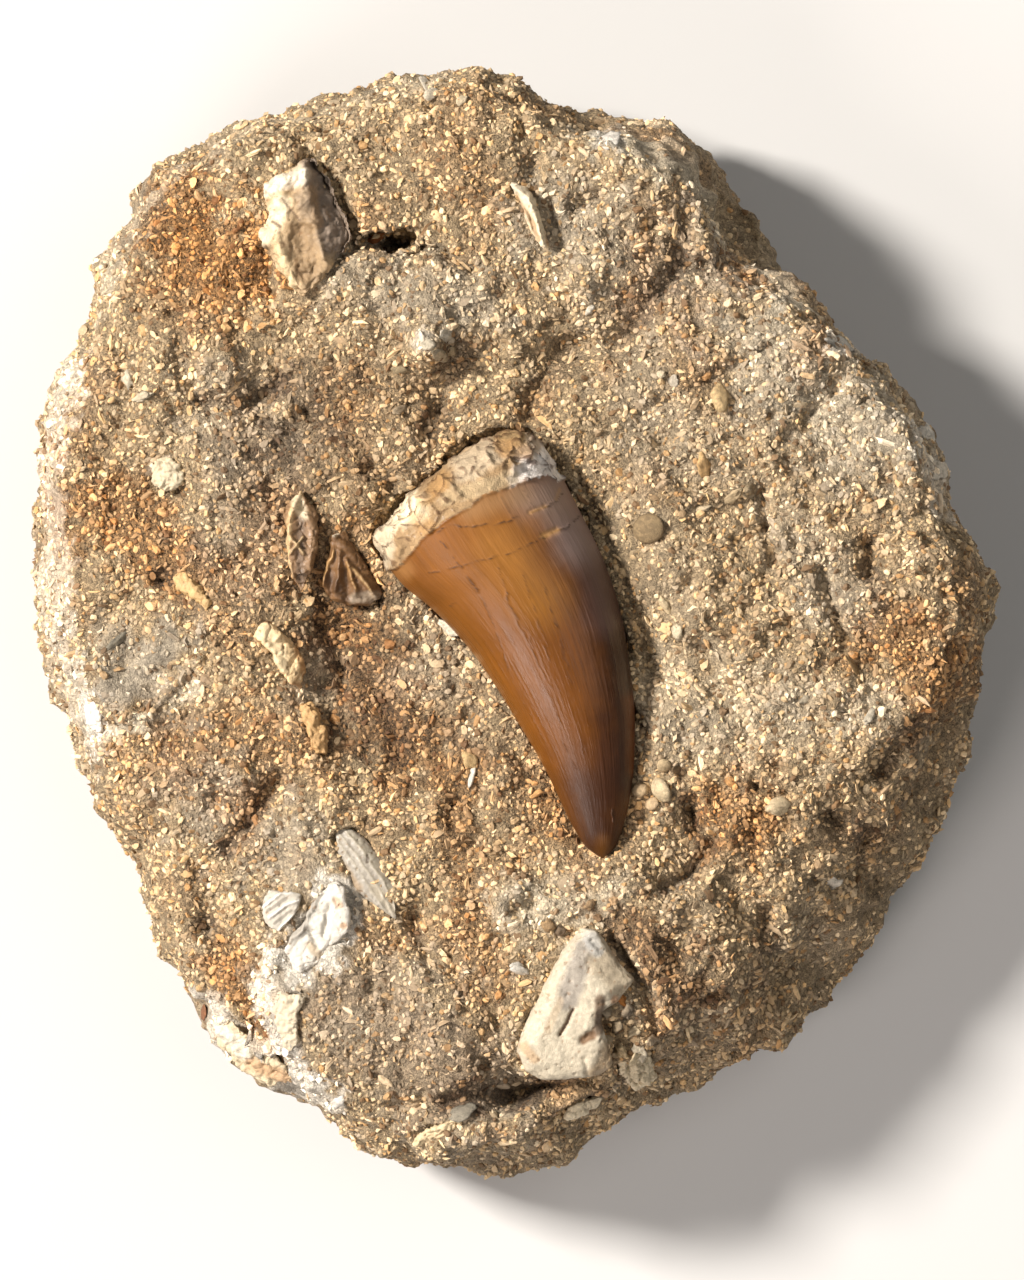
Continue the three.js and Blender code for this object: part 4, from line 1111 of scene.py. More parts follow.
def copiesNode(tree, given, settings):
    # one shape on each scattered point, sunk a little and stretched at random
    scatter = scatterNode(tree, given)
    sunk = addNode(tree, "GeometryNodeSetPosition")
    feed(tree, sunk.inputs["Geometry"], scatter.outputs["Points"])
    feed(tree, sunk.inputs["Offset"], scaleNode(tree, scatter.outputs["Normal"], given["Sink"]))
    shapes = addNode(tree, "GeometryNodeCollectionInfo")
    feed(tree, shapes.inputs["Collection"], given["Shapes"])
    shapes.inputs["Separate Children"].default_value = True
    shapes.inputs["Reset Children"].default_value = True
    stretch = randomNode(tree, "FLOAT_VECTOR", settings["thinnest"], settings["thickest"])
    size = randomNode(tree, "FLOAT", given["Smallest"], given["Largest"])
    copies = addNode(tree, "GeometryNodeInstanceOnPoints")
    feed(tree, copies.inputs["Points"], sunk.outputs[0])
    feed(tree, copies.inputs["Instance"], shapes.outputs[0])
    copies.inputs["Pick Instance"].default_value = True
    feed(tree, copies.inputs["Instance Index"], randomNode(tree, "INT", 0, settings["lastShape"]))
    feed(tree, copies.inputs["Rotation"], turnNode(tree, given, scatter))
    feed(tree, copies.inputs["Scale"], scaleNode(tree, stretch, size))
    return copies.outputs[0]


def grainTree(settings):
    # scatters shapes over a surface, thick where its cover is high
    tree = bpy.data.node_groups.new("scatterGrains", "GeometryNodeTree")
    sockets = (
        ("Geometry", "Geometry"), ("Shapes", "Collection"), ("Cover", "String"),
        ("Spacing", "Float"), ("Smallest", "Float"), ("Largest", "Float"),
        ("From X", "Float"), ("To X", "Float"), ("Tilt", "Float"), ("Sink", "Float"),
        ("Seed", "Int"), ("Material", "Material"),
    )
    for name, kind in sockets:
        tree.interface.new_socket(name, in_out="INPUT", socket_type="NodeSocket" + kind)
    tree.interface.new_socket("Geometry", in_out="OUTPUT", socket_type="NodeSocketGeometry")
    given = addNode(tree, "NodeGroupInput").outputs
    store = addNode(tree, "GeometryNodeStoreNamedAttribute", data_type="FLOAT", domain="INSTANCE")
    store.inputs["Name"].default_value = "shade"
    feed(tree, store.inputs["Geometry"], copiesNode(tree, given, settings))
    feed(tree, store.inputs["Value"], randomNode(tree, "FLOAT", 0.0, 1.0, settings["shadeSeed"]))
    real = addNode(tree, "GeometryNodeRealizeInstances")
    feed(tree, real.inputs[0], store.outputs[0])
    paint = addNode(tree, "GeometryNodeSetMaterial")
    feed(tree, paint.inputs["Geometry"], real.outputs[0])
    feed(tree, paint.inputs["Material"], given["Material"])
    feed(tree, addNode(tree, "NodeGroupOutput").inputs[0], paint.outputs[0])
    return tree


def scattered(tree, mesh, values):
    # runs the tree on a copy of the rock and keeps the result as a plain mesh
    helper = helperFor(mesh)
    modifier = helper.modifiers.new("scatter", "NODES")
    modifier.node_group = tree
    for item in tree.interface.items_tree:
        if item.in_out == "INPUT" and item.name in values:
            modifier[item.identifier] = values[item.name]
    helper.update_tag()
    return settled(helper)


def grainJobs(settings):
    # each: its name, shapes, cover, spacing, strip and gain in size
    fine, coarse = grainShapes()
    strips = settings["strips"]
    west, east = strips[0], strips[-1]
    near, far = settings["spacing"], settings["sideSpacing"]
    jobs = []
    for at, limits in enumerate(zip(strips[:-1], strips[1:])):
        jobs.append(("face_grains_" + "abcde"[at], fine, "coverFace", near, limits, 1.0))
    jobs.append(("side_grains_west", fine, "coverSide", far, (west, 0), 1.0))
    jobs.append(("side_grains_east", fine, "coverSide", far, (0, east), 1.0))
    spread = settings["hashSpacing"]
    jobs.append(("coarse_grains", coarse, "coverFace", spread, (west, east), settings["coarseGain"]))
    return jobs


def grainSoil():
    # the rock as the grains see it: its cover, and its tone without the painted shade that darkens the rock
    # between them
    soil = rockMesh.copy()
    coverOn(soil, rockSettings)
    tone = np.empty(len(soil.vertices) * 4)
    soil.attributes["tone"].data.foreach_get("color", tone)
    tone = tone.reshape(-1, 4)[:, :3] / rockSettings["paintedShadeUnderGrains"]
    soil.attributes.remove(soil.attributes["tone"])
    setTone(soil, tone)
    return soil


def makeGrains(settings):
    tree = grainTree(settings)
    jobs = grainJobs(settings)
    material = grainMaterial("rock_grains", settings)
    soil = grainSoil()
    for at, (name, shapes, cover, spacing, limits, gain) in enumerate(jobs):
        mesh = scattered(tree, soil, {
            "Shapes": shapes,
            "Cover": cover,
            "Spacing": spacing * mm,
            "Smallest": settings["smallest"] * gain * mm,
            "Largest": settings["largest"] * gain * mm,
            "From X": limits[0] * mm,
            "To X": limits[1] * mm,
            "Tilt": settings["tilt"],
            "Sink": settings["sink"] * mm,
            "Seed": settings["seed"] + at,
            "Material": material,
        })
        addPiece(name, mesh, material, smooth=False)
        print(name, len(mesh.polygons), "faces")


makeGrains(grainSettings)
print("grains scattered")

# The tooth

toothSettings = {
    # its two edges from above, hollow-curved and round-curved, from the root's end to the tip
    "ribs": [
        [(-13.9, 11.9), (1.2, 22.9)],
        [(-14.9, 8.7), (4.8, 17.4)],
        [(-12.1, 4.2), (7.9, 11.6)],
        [(-8.5, 1.1), (10.5, 6.2)],
        [(-4.5, -3.1), (12.3, 0.4)],
        [(-1.8, -7.0), (13.2, -4.6)],
        [(1.1, -11.6), (13.8, -10.0)],
        [(3.2, -15.1), (13.8, -14.5)],
        [(5.3, -19.3), (13.4, -18.9)],
        [(7.0, -22.8), (12.6, -22.6)],
        [(8.4, -25.0), (11.7, -25.0)],
        [(10.1, -26.3), (10.5, -26.3)],
    ],
    "rows": 380,
    "columns": 250,
    "upperColumns": 200,
    "rise": 0.84,
    "sunk": 0.62,
    "waist": 30.3,
    # rows are spread evenly in part, and in part closer at both ends
    "evenShare": 0.55,
    "easedShare": 0.45,
    # share of the length at the root's end that is rounded off, and the form of that rounding
    "blunt": 0.07,
    "bluntPowers": (2.5, 0.4),
    # millimetres around the tooth for each radian, for its streaks
    "lieWidth": 5.0,
    "crownLine": [
        (-16.4, 5.2), (-12.3, 5.6), (-11.3, 6.4), (-9.5, 8.7), (-6.3, 11.1), (-4.3, 12.2), (-3.0, 13.3),
        (-1.6, 13.8), (0.4, 14.5), (2.3, 15.2), (4.1, 15.8), (5.3, 15.1), (8.9, 16.4),
    ],
    # cracks across and along the crown: path, half width and lift
    "cracks": [
        ([(-8.0, 9.3), (-6.5, 10.2), (-4.4, 10.0), (-1.9, 10.2), (0.4, 10.9), (2.1, 11.3),
          (3.8, 12.1), (5.2, 12.9), (5.8, 13.7)], 0.075, -0.13),
        ([(-8.7, 4.9), (-7.5, 5.3), (-5.3, 5.8), (-2.1, 6.6), (-0.5, 7.0), (2.1, 8.1),
          (3.5, 8.8)], 0.07, -0.1),
        ([(3.5, 8.8), (4.6, 9.4), (6.4, 10.0), (7.6, 11.2)], 0.08, -0.13),
        ([(-7.5, 8.5), (-6.6, 7.5), (-5.5, 5.9), (-4.3, 4.3), (-2.5, 1.3)], 0.07, -0.1),
        ([(-2.5, 1.3), (-1.7, -0.7), (-0.7, -3.2), (-0.1, -5.8)], 0.07, -0.07),
        ([(-1.0, 4.8), (0.3, 1.0), (2.3, -3.2), (4.7, -7.8)], 0.07, -0.06),
        ([(4.3, 2.1), (5.6, -2.3), (6.9, -7.8)], 0.07, -0.06),
        ([(-6.9, 1.0), (-5.8, 1.9), (-4.7, 2.8)], 0.07, -0.07),
        ([(-1.2, 14.0), (-0.3, 12.2), (0.4, 10.8)], 0.07, -0.06),
        ([(11.3, -21.0), (11.5, -22.3)], 0.09, -0.1),
        ([(-1.2, 5.7), (-0.0, 1.5), (2.0, -1.4), (2.7, -3.2)], 0.06, -0.07),
        ([(1.5, 4.7), (2.7, 1.1), (3.5, -2.0), (4.7, -5.2)], 0.06, -0.06),
        ([(3.9, 3.5), (5.2, -1.2), (5.9, -4.4)], 0.06, -0.06),
        ([(5.2, -10.4), (5.9, -13.5), (7.4, -16.6)], 0.06, -0.05),
        ([(1.2, 14.4), (2.3, 12.5), (3.0, 11.8)], 0.06, -0.05),
    ],
    # flakes that stand up beside the cracks
    "flakes": [
        ([(3.8, 9.1), (5.2, 9.7)], 0.35, 0.2),
        ([(2.3, 11.6), (3.9, 12.3)], 0.25, 0.12),
        ([(5.6, 14.2), (5.2, 13.1)], 0.2, 0.08),
    ],
    # lumps and hollows of the crumbling root
    "rootLumps": [
        ([(-13.9, 10.9), (-12.6, 12.2)], 1.3, 0.5),
        ([(-11.5, 11.4), (-10.4, 9.8)], 0.9, 0.45),
        ([(-8.5, 14.2), (-6.7, 13.1)], 1.4, 0.45),
        ([(-4.5, 15.5), (-3.2, 16.4)], 1.2, 0.35),
        ([(-0.5, 18.9), (1.2, 18.4)], 1.2, 0.55),
        ([(-6.0, 12.5), (-4.3, 13.3)], 0.7, 0.3),
        ([(-9.4, 12.5), (-10.0, 10.9)], 0.35, -0.5),
        ([(-7.6, 15.5), (-6.3, 14.6), (-5.4, 13.5)], 0.3, -0.45),
        ([(-2.5, 17.7), (-1.7, 16.6), (0.8, 16.6), (2.3, 17.7)], 0.3, -0.45),
        ([(0.1, 17.3), (0.5, 15.9)], 0.25, -0.5),
        ([(-12.3, 8.7), (-11.7, 7.8), (-12.0, 6.9)], 0.25, -0.45),
        ([(-13.8, 9.2), (-14.0, 6.5)], 0.6, 0.3),
    ],
    # colours of crown and root: path, half width, colour and strength; the mauve-grey ones on the crown's
    # right shoulder are a painted sheen
    "stains": [
        ([(2.3, -2.3), (5.6, -15.5), (10.0, -26.0)], 6.5, "5f360f", 0.75),
        ([(8.9, -17.7), (10.3, -25.4)], 4.4, "2c1200", 0.92),
        ([(10.3, -24.5), (10.4, -25.6)], 1.0, "5e380a", 0.7),
        ([(5.0, 6.5), (8.0, -2.3), (9.8, -13.3)], 4.4, "552e08", 0.8),
        ([(10.0, 8.7), (12.2, -0.1), (13.5, -8.9), (13.5, -16.6)], 3.8, "2a1206", 0.96),
        # painted sheen: mauve-grey reflection down the crown's right shoulder
        ([(7.6, 10.9), (9.8, 4.3), (10.4, -0.1)], 2.2, "5c443c", 0.8),
        ([(5.6, 14.0), (7.6, 8.7)], 3.2, "86726a", 0.88),
        ([(2.3, 13.3), (4.7, 12.9)], 2.8, "8c7464", 0.8),
        ([(-4.3, 11.8), (-1.0, 12.9), (1.2, 13.5)], 1.6, "93714a", 0.5),
        ([(13.3, -8.9), (13.7, -16.6)], 0.9, "6d3a10", 0.6),
        ([(10.3, -11.1), (10.7, -19.9)], 1.2, "331704", 0.6),
        ([(-10.4, 5.2), (-6.5, -0.1), (-1.0, -11.1)], 2.0, "653a08", 0.75),
        ([(-12.8, 6.5), (-11.5, 5.2)], 1.2, "8c6236", 0.8),
        ([(-1.0, 8.1), (3.4, 2.1)], 3.5, "8f5f20", 0.5),
    ],
    "rootStains": [
        ([(-13.7, 11.8), (-11.1, 12.2)], 2.6, "f2deba", 0.85),
        ([(-4.9, 16.4), (-2.1, 18.4)], 2.0, "bba98e", 0.7),
        # painted light: the root's right corner faces away from the key lamp and is lightened to near white
        ([(3.2, 18.0), (5.2, 15.5)], 2.6, "f4efe8", 0.95),
        ([(1.2, 15.5), (3.9, 16.4)], 1.6, "d6ccc2", 0.8),
        ([(-0.5, 19.9), (2.3, 19.0)], 1.6, "a08358", 0.7),
        ([(-0.5, 18.9), (1.7, 18.4)], 1.2, "a87c4a", 0.5),
        ([(-9.3, 13.1), (-7.1, 15.5)], 1.2, "96703f", 0.6),
        ([(-10.4, 10.9), (-8.7, 9.8)], 1.2, "a98252", 0.5),
        ([(-7.1, 13.1), (-3.2, 14.4), (0.1, 15.5)], 1.0, "b59f7c", 0.6),
        ([(-13.5, 10.3), (-14.0, 6.5)], 1.3, "bfae92", 0.9),
    ],
    "crown": "744409",
    "root": "957a58",
    "crackColour": "2c190c",
    "crackShare": 0.8,
    "fullCrack": 0.1,
    "flakeColour": "b88a50",
    "flakeShare": 0.6,
    "fullFlake": 0.16,
    "rootCrackColour": "4a2d17",
    "rootCrackShare": 0.8,
    # blocks of the root, and the seam between root and crown
    "blockSize": 2.0,
    "blockRise": 0.26,
    "domeRise": 0.36,
    "grooveDepth": 0.24,
    "seamDepth": 0.2,
    "seamWidth": 0.16,
    "seamShade": 0.55,
    "seamShadeWidth": 0.11,
}

enamelSettings = {
    "streakScale": (2.8, 0.13, 1.0),
    "streakTints": (0.88, 1.12),
    "roughness": (0.22, 0.4),
    # two places along the tooth in millimetres, and the roughness added at each
    "wornBase": (11.0, 23.0, 0.26, 0.0),
    "wornTip": (30.0, 40.0, 0.0, 0.12),
    "rootRoughness": 0.4,
    "relief": 0.2,
    "reliefShare": 0.6,
    "specular": 0.34,
    "coat": 0.06,
    "coatRoughness": 0.22,
}


def catmullRom(points, shares):
    # the same centripetal curve as the solid's edges
    points = np.array(points)
    first = 2 * points[0] - points[1]
    last = 2 * points[-1] - points[-2]
    padded = np.vstack([first, points, last])
    spot = shares * (len(points) - 1)
    at = np.minimum(np.floor(spot).astype(int), len(points) - 2)
    share = (spot - at)[:, None]
    corners = [padded[at + step] for step in range(4)]
    steps = [after - before for before, after in zip(corners[:-1], corners[1:])]
    gaps = [np.sqrt(np.linalg.norm(step, axis=1))[:, None] for step in steps]
    before, middle, after = (np.maximum(gap, 1e-4) for gap in gaps)
    one, two, three, four = corners
    leanIn = (two - one) / before - (three - one) / (before + middle) + (three - two) / middle
    leanOut = (three - two) / middle - (four - two) / (middle + after) + (four - three) / after
    leanIn = leanIn * middle
    leanOut = leanOut * middle
    square = -3 * two + 3 * three - 2 * leanIn - leanOut
    cube = 2 * two - 2 * three + leanIn + leanOut
    return two + leanIn * share + square * share ** 2 + cube * share ** 3


def toothGrid(settings):
    # points of the tooth by row and column, with where each lies along and around it
    rows, columns = settings["rows"], settings["columns"]
    even = (np.arange(rows) + 0.5) / rows
    eased = (1 - np.cos(math.pi * even)) / 2
    shares = settings["evenShare"] * even + settings["easedShare"] * eased
    left = catmullRom([rib[0] for rib in settings["ribs"]], shares)
    right = catmullRom([rib[1] for rib in settings["ribs"]], shares)
    middle = (left + right) / 2
    across = right - left
    halfWidth = np.linalg.norm(across, axis=1) / 2
    across = across / (2 * halfWidth[:, None])
    blunt = np.maximum(1 - shares / settings["blunt"], 0)
    inner, outer = settings["bluntPowers"]
    reach = halfWidth * (1 - blunt ** inner) ** outer
    upper = settings["upperColumns"]
    turns = np.concatenate([
        np.pi * np.arange(upper) / upper,
        np.pi + np.pi * np.arange(columns - upper) / (columns - upper),
    ])
    side = -np.cos(turns)
    up = np.sin(turns)
    tall = np.where(up > 0, settings["rise"], settings["sunk"])
    points = np.empty((rows, columns, 3))
    points[:, :, :2] = middle[:, None] + across[:, None] * (side[None, :, None] * reach[:, None, None])
    points[:, :, 2] = settings["waist"] + (up * tall)[None, :] * reach[:, None]
    length = np.cumsum(np.concatenate([[0], np.linalg.norm(np.diff(middle, axis=0), axis=1)]))
    lie = np.zeros((rows, columns, 3))
    lie[:, :, 0] = turns[None, :] * settings["lieWidth"]
    lie[:, :, 1] = length[:, None]
    return points, lie


def gridFaces(rows, columns):
    # the skin of a tube of rings, closed by a fan at both ends
    faces = []
    for row in range(rows - 1):
        for column in range(columns):
            after = (column + 1) % columns
            low = row * columns
            high = low + columns
            faces.append((low + column, low + after, high + after, high + column))
    last = rows * columns
    for column in range(columns):
        after = (column + 1) % columns
        faces.append((last, after, column))
        top = (rows - 1) * columns
        faces.append((last + 1, top + column, top + after))
    return faces


def toothRoot(points, settings):
    # 1 on the root, 0 on the crown, with a crumbling edge between
    away, side = awayFromPath(points, settings["crownLine"])
    ragged = 0.28 * gradientNoise(points, 0.9, 81) + 0.12 * gradientNoise(points, 0.35, 82)
    return smoothStep(side * away + ragged, -0.08, 0.1), away + np.abs(ragged) * 0.5


def rootRise(points, root, settings):
    # blocks and lumps of the crumbling root, with grooves between them
    bent = wandered(points, 1.6, 0.7, 97) * np.array([1, 1, 0.6])
    nearest, second, number = cellNoise(bent, settings["blockSize"], 5)
    edge = second - nearest + 0.1 * gradientNoise(points, 0.7, 99)
    split = smoothStep(gradientNoise(points, 3.2, 90), -0.6, 0.0)
    dome = np.sqrt(np.clip(1 - nearest, 0, 1))
    grooves = root * split * (1 - smoothStep(edge, 0.0, 0.08))
    rise = settings["blockRise"] * (number - 0.4) + settings["domeRise"] * (dome - 0.6)
    rise += 0.2 * gradientNoise(points, 1.7, 83) + 0.06 * gradientNoise(points, 0.6, 84)
    rise += strokeRise(points, settings["rootLumps"])
    return root * rise - settings["grooveDepth"] * grooves, grooves


def crownRise(points, root, settings):
    # cracks and flakes of the crown, and how deep each point lies in a crack
    wander = wandered(points, 1.1, 0.22, 85) + wandered(points, 0.4, 0.08, 87) - points
    broken = gradientNoise(points, 1.3, 95) + 0.5 * gradientNoise(points, 0.5, 96)
    cracks = strokeRise(wander, settings["cracks"]) * smoothStep(broken, -0.45, 0.25)
    rise = cracks + strokeRise(wander, settings["flakes"]) + 0.05 * gradientNoise(points, 5.0, 89)
    return (1 - root) * rise, np.clip(-cracks / settings["fullCrack"], 0, 1) * (1 - root)


def carveTooth(points, settings):
    root, seam = toothRoot(points, settings)
    blocks, grooves = rootRise(points, root, settings)
    rise, cracks = crownRise(points, root, settings)
    rise += blocks - settings["seamDepth"] * np.exp(-(seam / settings["seamWidth"]) ** 2)
    return rise, root, cracks, grooves, seam


def crownTone(points, cracks, settings):
    tone = plainTone(points, settings["crown"])
    tone = stained(tone, points, settings["stains"], 0.12, (0.0, 1.5))
    tone *= uneven(points, ((0.07, 2.6, 91), (0.04, 0.9, 92)))
    dark = (cracks * settings["crackShare"])[:, None]
    tone = blended(tone, colour(settings["crackColour"]), dark)
    flake = np.clip(strokeRise(points, settings["flakes"]) / settings["fullFlake"], 0, 1)[:, None]
    return blended(tone, colour(settings["flakeColour"]), settings["flakeShare"] * flake)


def rootTone(points, grooves, settings):
    tone = plainTone(points, settings["root"])
    tone = stained(tone, points, settings["rootStains"], 0.4)
    tone *= uneven(points, ((0.16, 1.6, 93), (0.1, 0.5, 94)))
    split = (settings["rootCrackShare"] * grooves)[:, None]
    return blended(tone, colour(settings["rootCrackColour"]), split)


def toothTone(points, root, cracks, grooves, seam, settings):
    crown = crownTone(points, cracks, settings)
    base = rootTone(points, grooves, settings)
    shade = settings["seamShade"] * np.exp(-(seam / settings["seamShadeWidth"]) ** 2)
    return blended(crown, base, root[:, None]) * (1 - shade)[:, None]


def enamelTint(tree, streaks, root, tint, settings):
    # the crown is streaked lengthwise, and the root is gritty
    streaked = greyNode(tree, mapNode(tree, streaks, 0.3, 0.7, *settings["streakTints"]))
    crownTint = mixNode(tree, "MIX", mathNode(tree, "SUBTRACT", 1.0, root), white, streaked)
    rootTint = mixNode(tree, "MIX", root, white, tint)
    tone = attributeNode(tree, "tone").outputs["Color"]
    painted = mixNode(tree, "MULTIPLY", 1.0, tone, crownTint)
    return mixNode(tree, "MULTIPLY", 1.0, painted, rootTint)


def enamelRoughness(tree, lie, streaks, root, settings):
    # smoothest in the middle of the crown, worn towards its base and its tip
    split = addNode(tree, "ShaderNodeSeparateXYZ")
    feed(tree, split.inputs[0], lie)
    base = mapNode(tree, split.outputs["Y"], *settings["wornBase"])
    tip = mapNode(tree, split.outputs["Y"], *settings["wornTip"])
    polish = mapNode(tree, streaks, 0.3, 0.7, *settings["roughness"])
    crown = mathNode(tree, "ADD", polish, mathNode(tree, "ADD", base, tip))
    return mathNode(tree, "MULTIPLY_ADD", root, settings["rootRoughness"], crown)


def enamelRelief(tree, streaks, root, height, settings):
    # fine lengthwise lines on the crown, and grit on the root
    share = settings["reliefShare"]
    crown = mathNode(tree, "SUBTRACT", 1.0, root)
    lines = mathNode(tree, "MULTIPLY", mathNode(tree, "MULTIPLY", streaks, crown), share)
    relief = mathNode(tree, "MULTIPLY_ADD", mathNode(tree, "MULTIPLY", height, root), share, lines)
    return bumpNode(tree, relief, settings["relief"])


def makeEnamel(settings):
    material, tree, finish = newMaterial("tooth_enamel")
    lie = attributeNode(tree, "lie").outputs["Vector"]
    stretch = addNode(tree, "ShaderNodeMapping")
    feed(tree, stretch.inputs["Vector"], lie)
    stretch.inputs["Scale"].default_value = settings["streakScale"]
    streaks = noiseNode(tree, stretch.outputs[0], 1.0, 4.0, 0.6)
    root = attributeNode(tree, "root").outputs["Fac"]
    tint, height = gritOn(tree, 0.5, 0.35, 0.2)
    feed(tree, finish.inputs["Base Color"], enamelTint(tree, streaks, root, tint, settings))
    feed(tree, finish.inputs["Roughness"], enamelRoughness(tree, lie, streaks, root, settings))
    feed(tree, finish.inputs["Normal"], enamelRelief(tree, streaks, root, height, settings))
    finish.inputs["Specular IOR Level"].default_value = settings["specular"]
    finish.inputs["Coat Weight"].default_value = settings["coat"]
    finish.inputs["Coat Roughness"].default_value = settings["coatRoughness"]
    return material


def makeTooth(settings):
    grid, lie = toothGrid(settings)
    rows, columns = grid.shape[:2]
    points = np.vstack([grid.reshape(-1, 3), grid[0].mean(axis=0), grid[-1].mean(axis=0)])
    lies = np.vstack([lie.reshape(-1, 3), lie[0].mean(axis=0), lie[-1].mean(axis=0)])
    mesh = bpy.data.meshes.new("tooth")
    mesh.from_pydata((points * mm).tolist(), [], gridFaces(rows, columns))
    normals = pointNormals(mesh)
    rise, root, cracks, grooves, seam = carveTooth(points, settings)
    setPoints(mesh, points + normals * rise[:, None])
    setTone(mesh, toothTone(points, root, cracks, grooves, seam, settings))
    setShare(mesh, "root", root)
    layer = mesh.attributes.new("lie", "FLOAT_VECTOR", "POINT")
    layer.data.foreach_set("vector", lies.ravel())
    addPiece("fossil_tooth", mesh, makeEnamel(enamelSettings), ["tooth"])


makeTooth(toothSettings)
print("tooth made")

# Bones and shells caught in the rock

# grain size in millimetres, contrast, seams, relief, roughness and coat
finishes = {
    "cream_bone": (0.35, 0.34, 0.12, 0.09, 0.66, 0.04),
    "brown_bone": (0.3, 0.4, 0.1, 0.08, 0.5, 0.1),
    "grey_shell": (0.25, 0.22, 0.0, 0.05, 0.5, 0.1),
    "chalky_shell": (0.3, 0.22, 0.1, 0.06, 0.75),
}

fragmentFinishes = {name: mineralMaterial(name, *values) for name, values in finishes.items()}

fragmentDefaults = {
    "voxel": 0.15,
    "smoothing": 4,
    "facets": (1.2, 0.2),
    "strokes": [],
    "stains": [],
    "pitDepth": 0.16,
    "speckColour": "8f6a42",
    "speckShare": 0.6,
    "shade": 0.72,
}

# lines that are both raised and stained
bladeRidge = [(-22.9, 14.0), (-24.2, 10.9), (-24.5, 6.7), (-23.7, 2.7)]
bladeTies = [[(-23.9, 8.9), (-22.6, 7.2)], [(-23.9, 7.2), (-22.6, 9.0)]]
chalkEdge = [(-20.8, -29.8), (-22.8, -34.2), (-24.1, -35.4)]
shellLines = [
    [(-19.0, -22.3), (-16.2, -25.4), (-13.8, -28.9), (-12.2, -32.2)],
    [(-19.3, -23.0), (-16.7, -26.1), (-14.3, -29.6), (-12.7, -32.5)],
    [(-19.4, -23.9), (-17.3, -26.5), (-15.0, -30.0), (-13.3, -32.5)],
]
flakeLines = [
    [(-27.0, -31.6), (-25.0, -30.2), (-22.3, -29.7)],
    [(-26.4, -32.8), (-24.4, -31.3), (-22.0, -30.7)],
    [(-25.3, -34.2), (-23.8, -32.7), (-21.8, -31.8)],
]

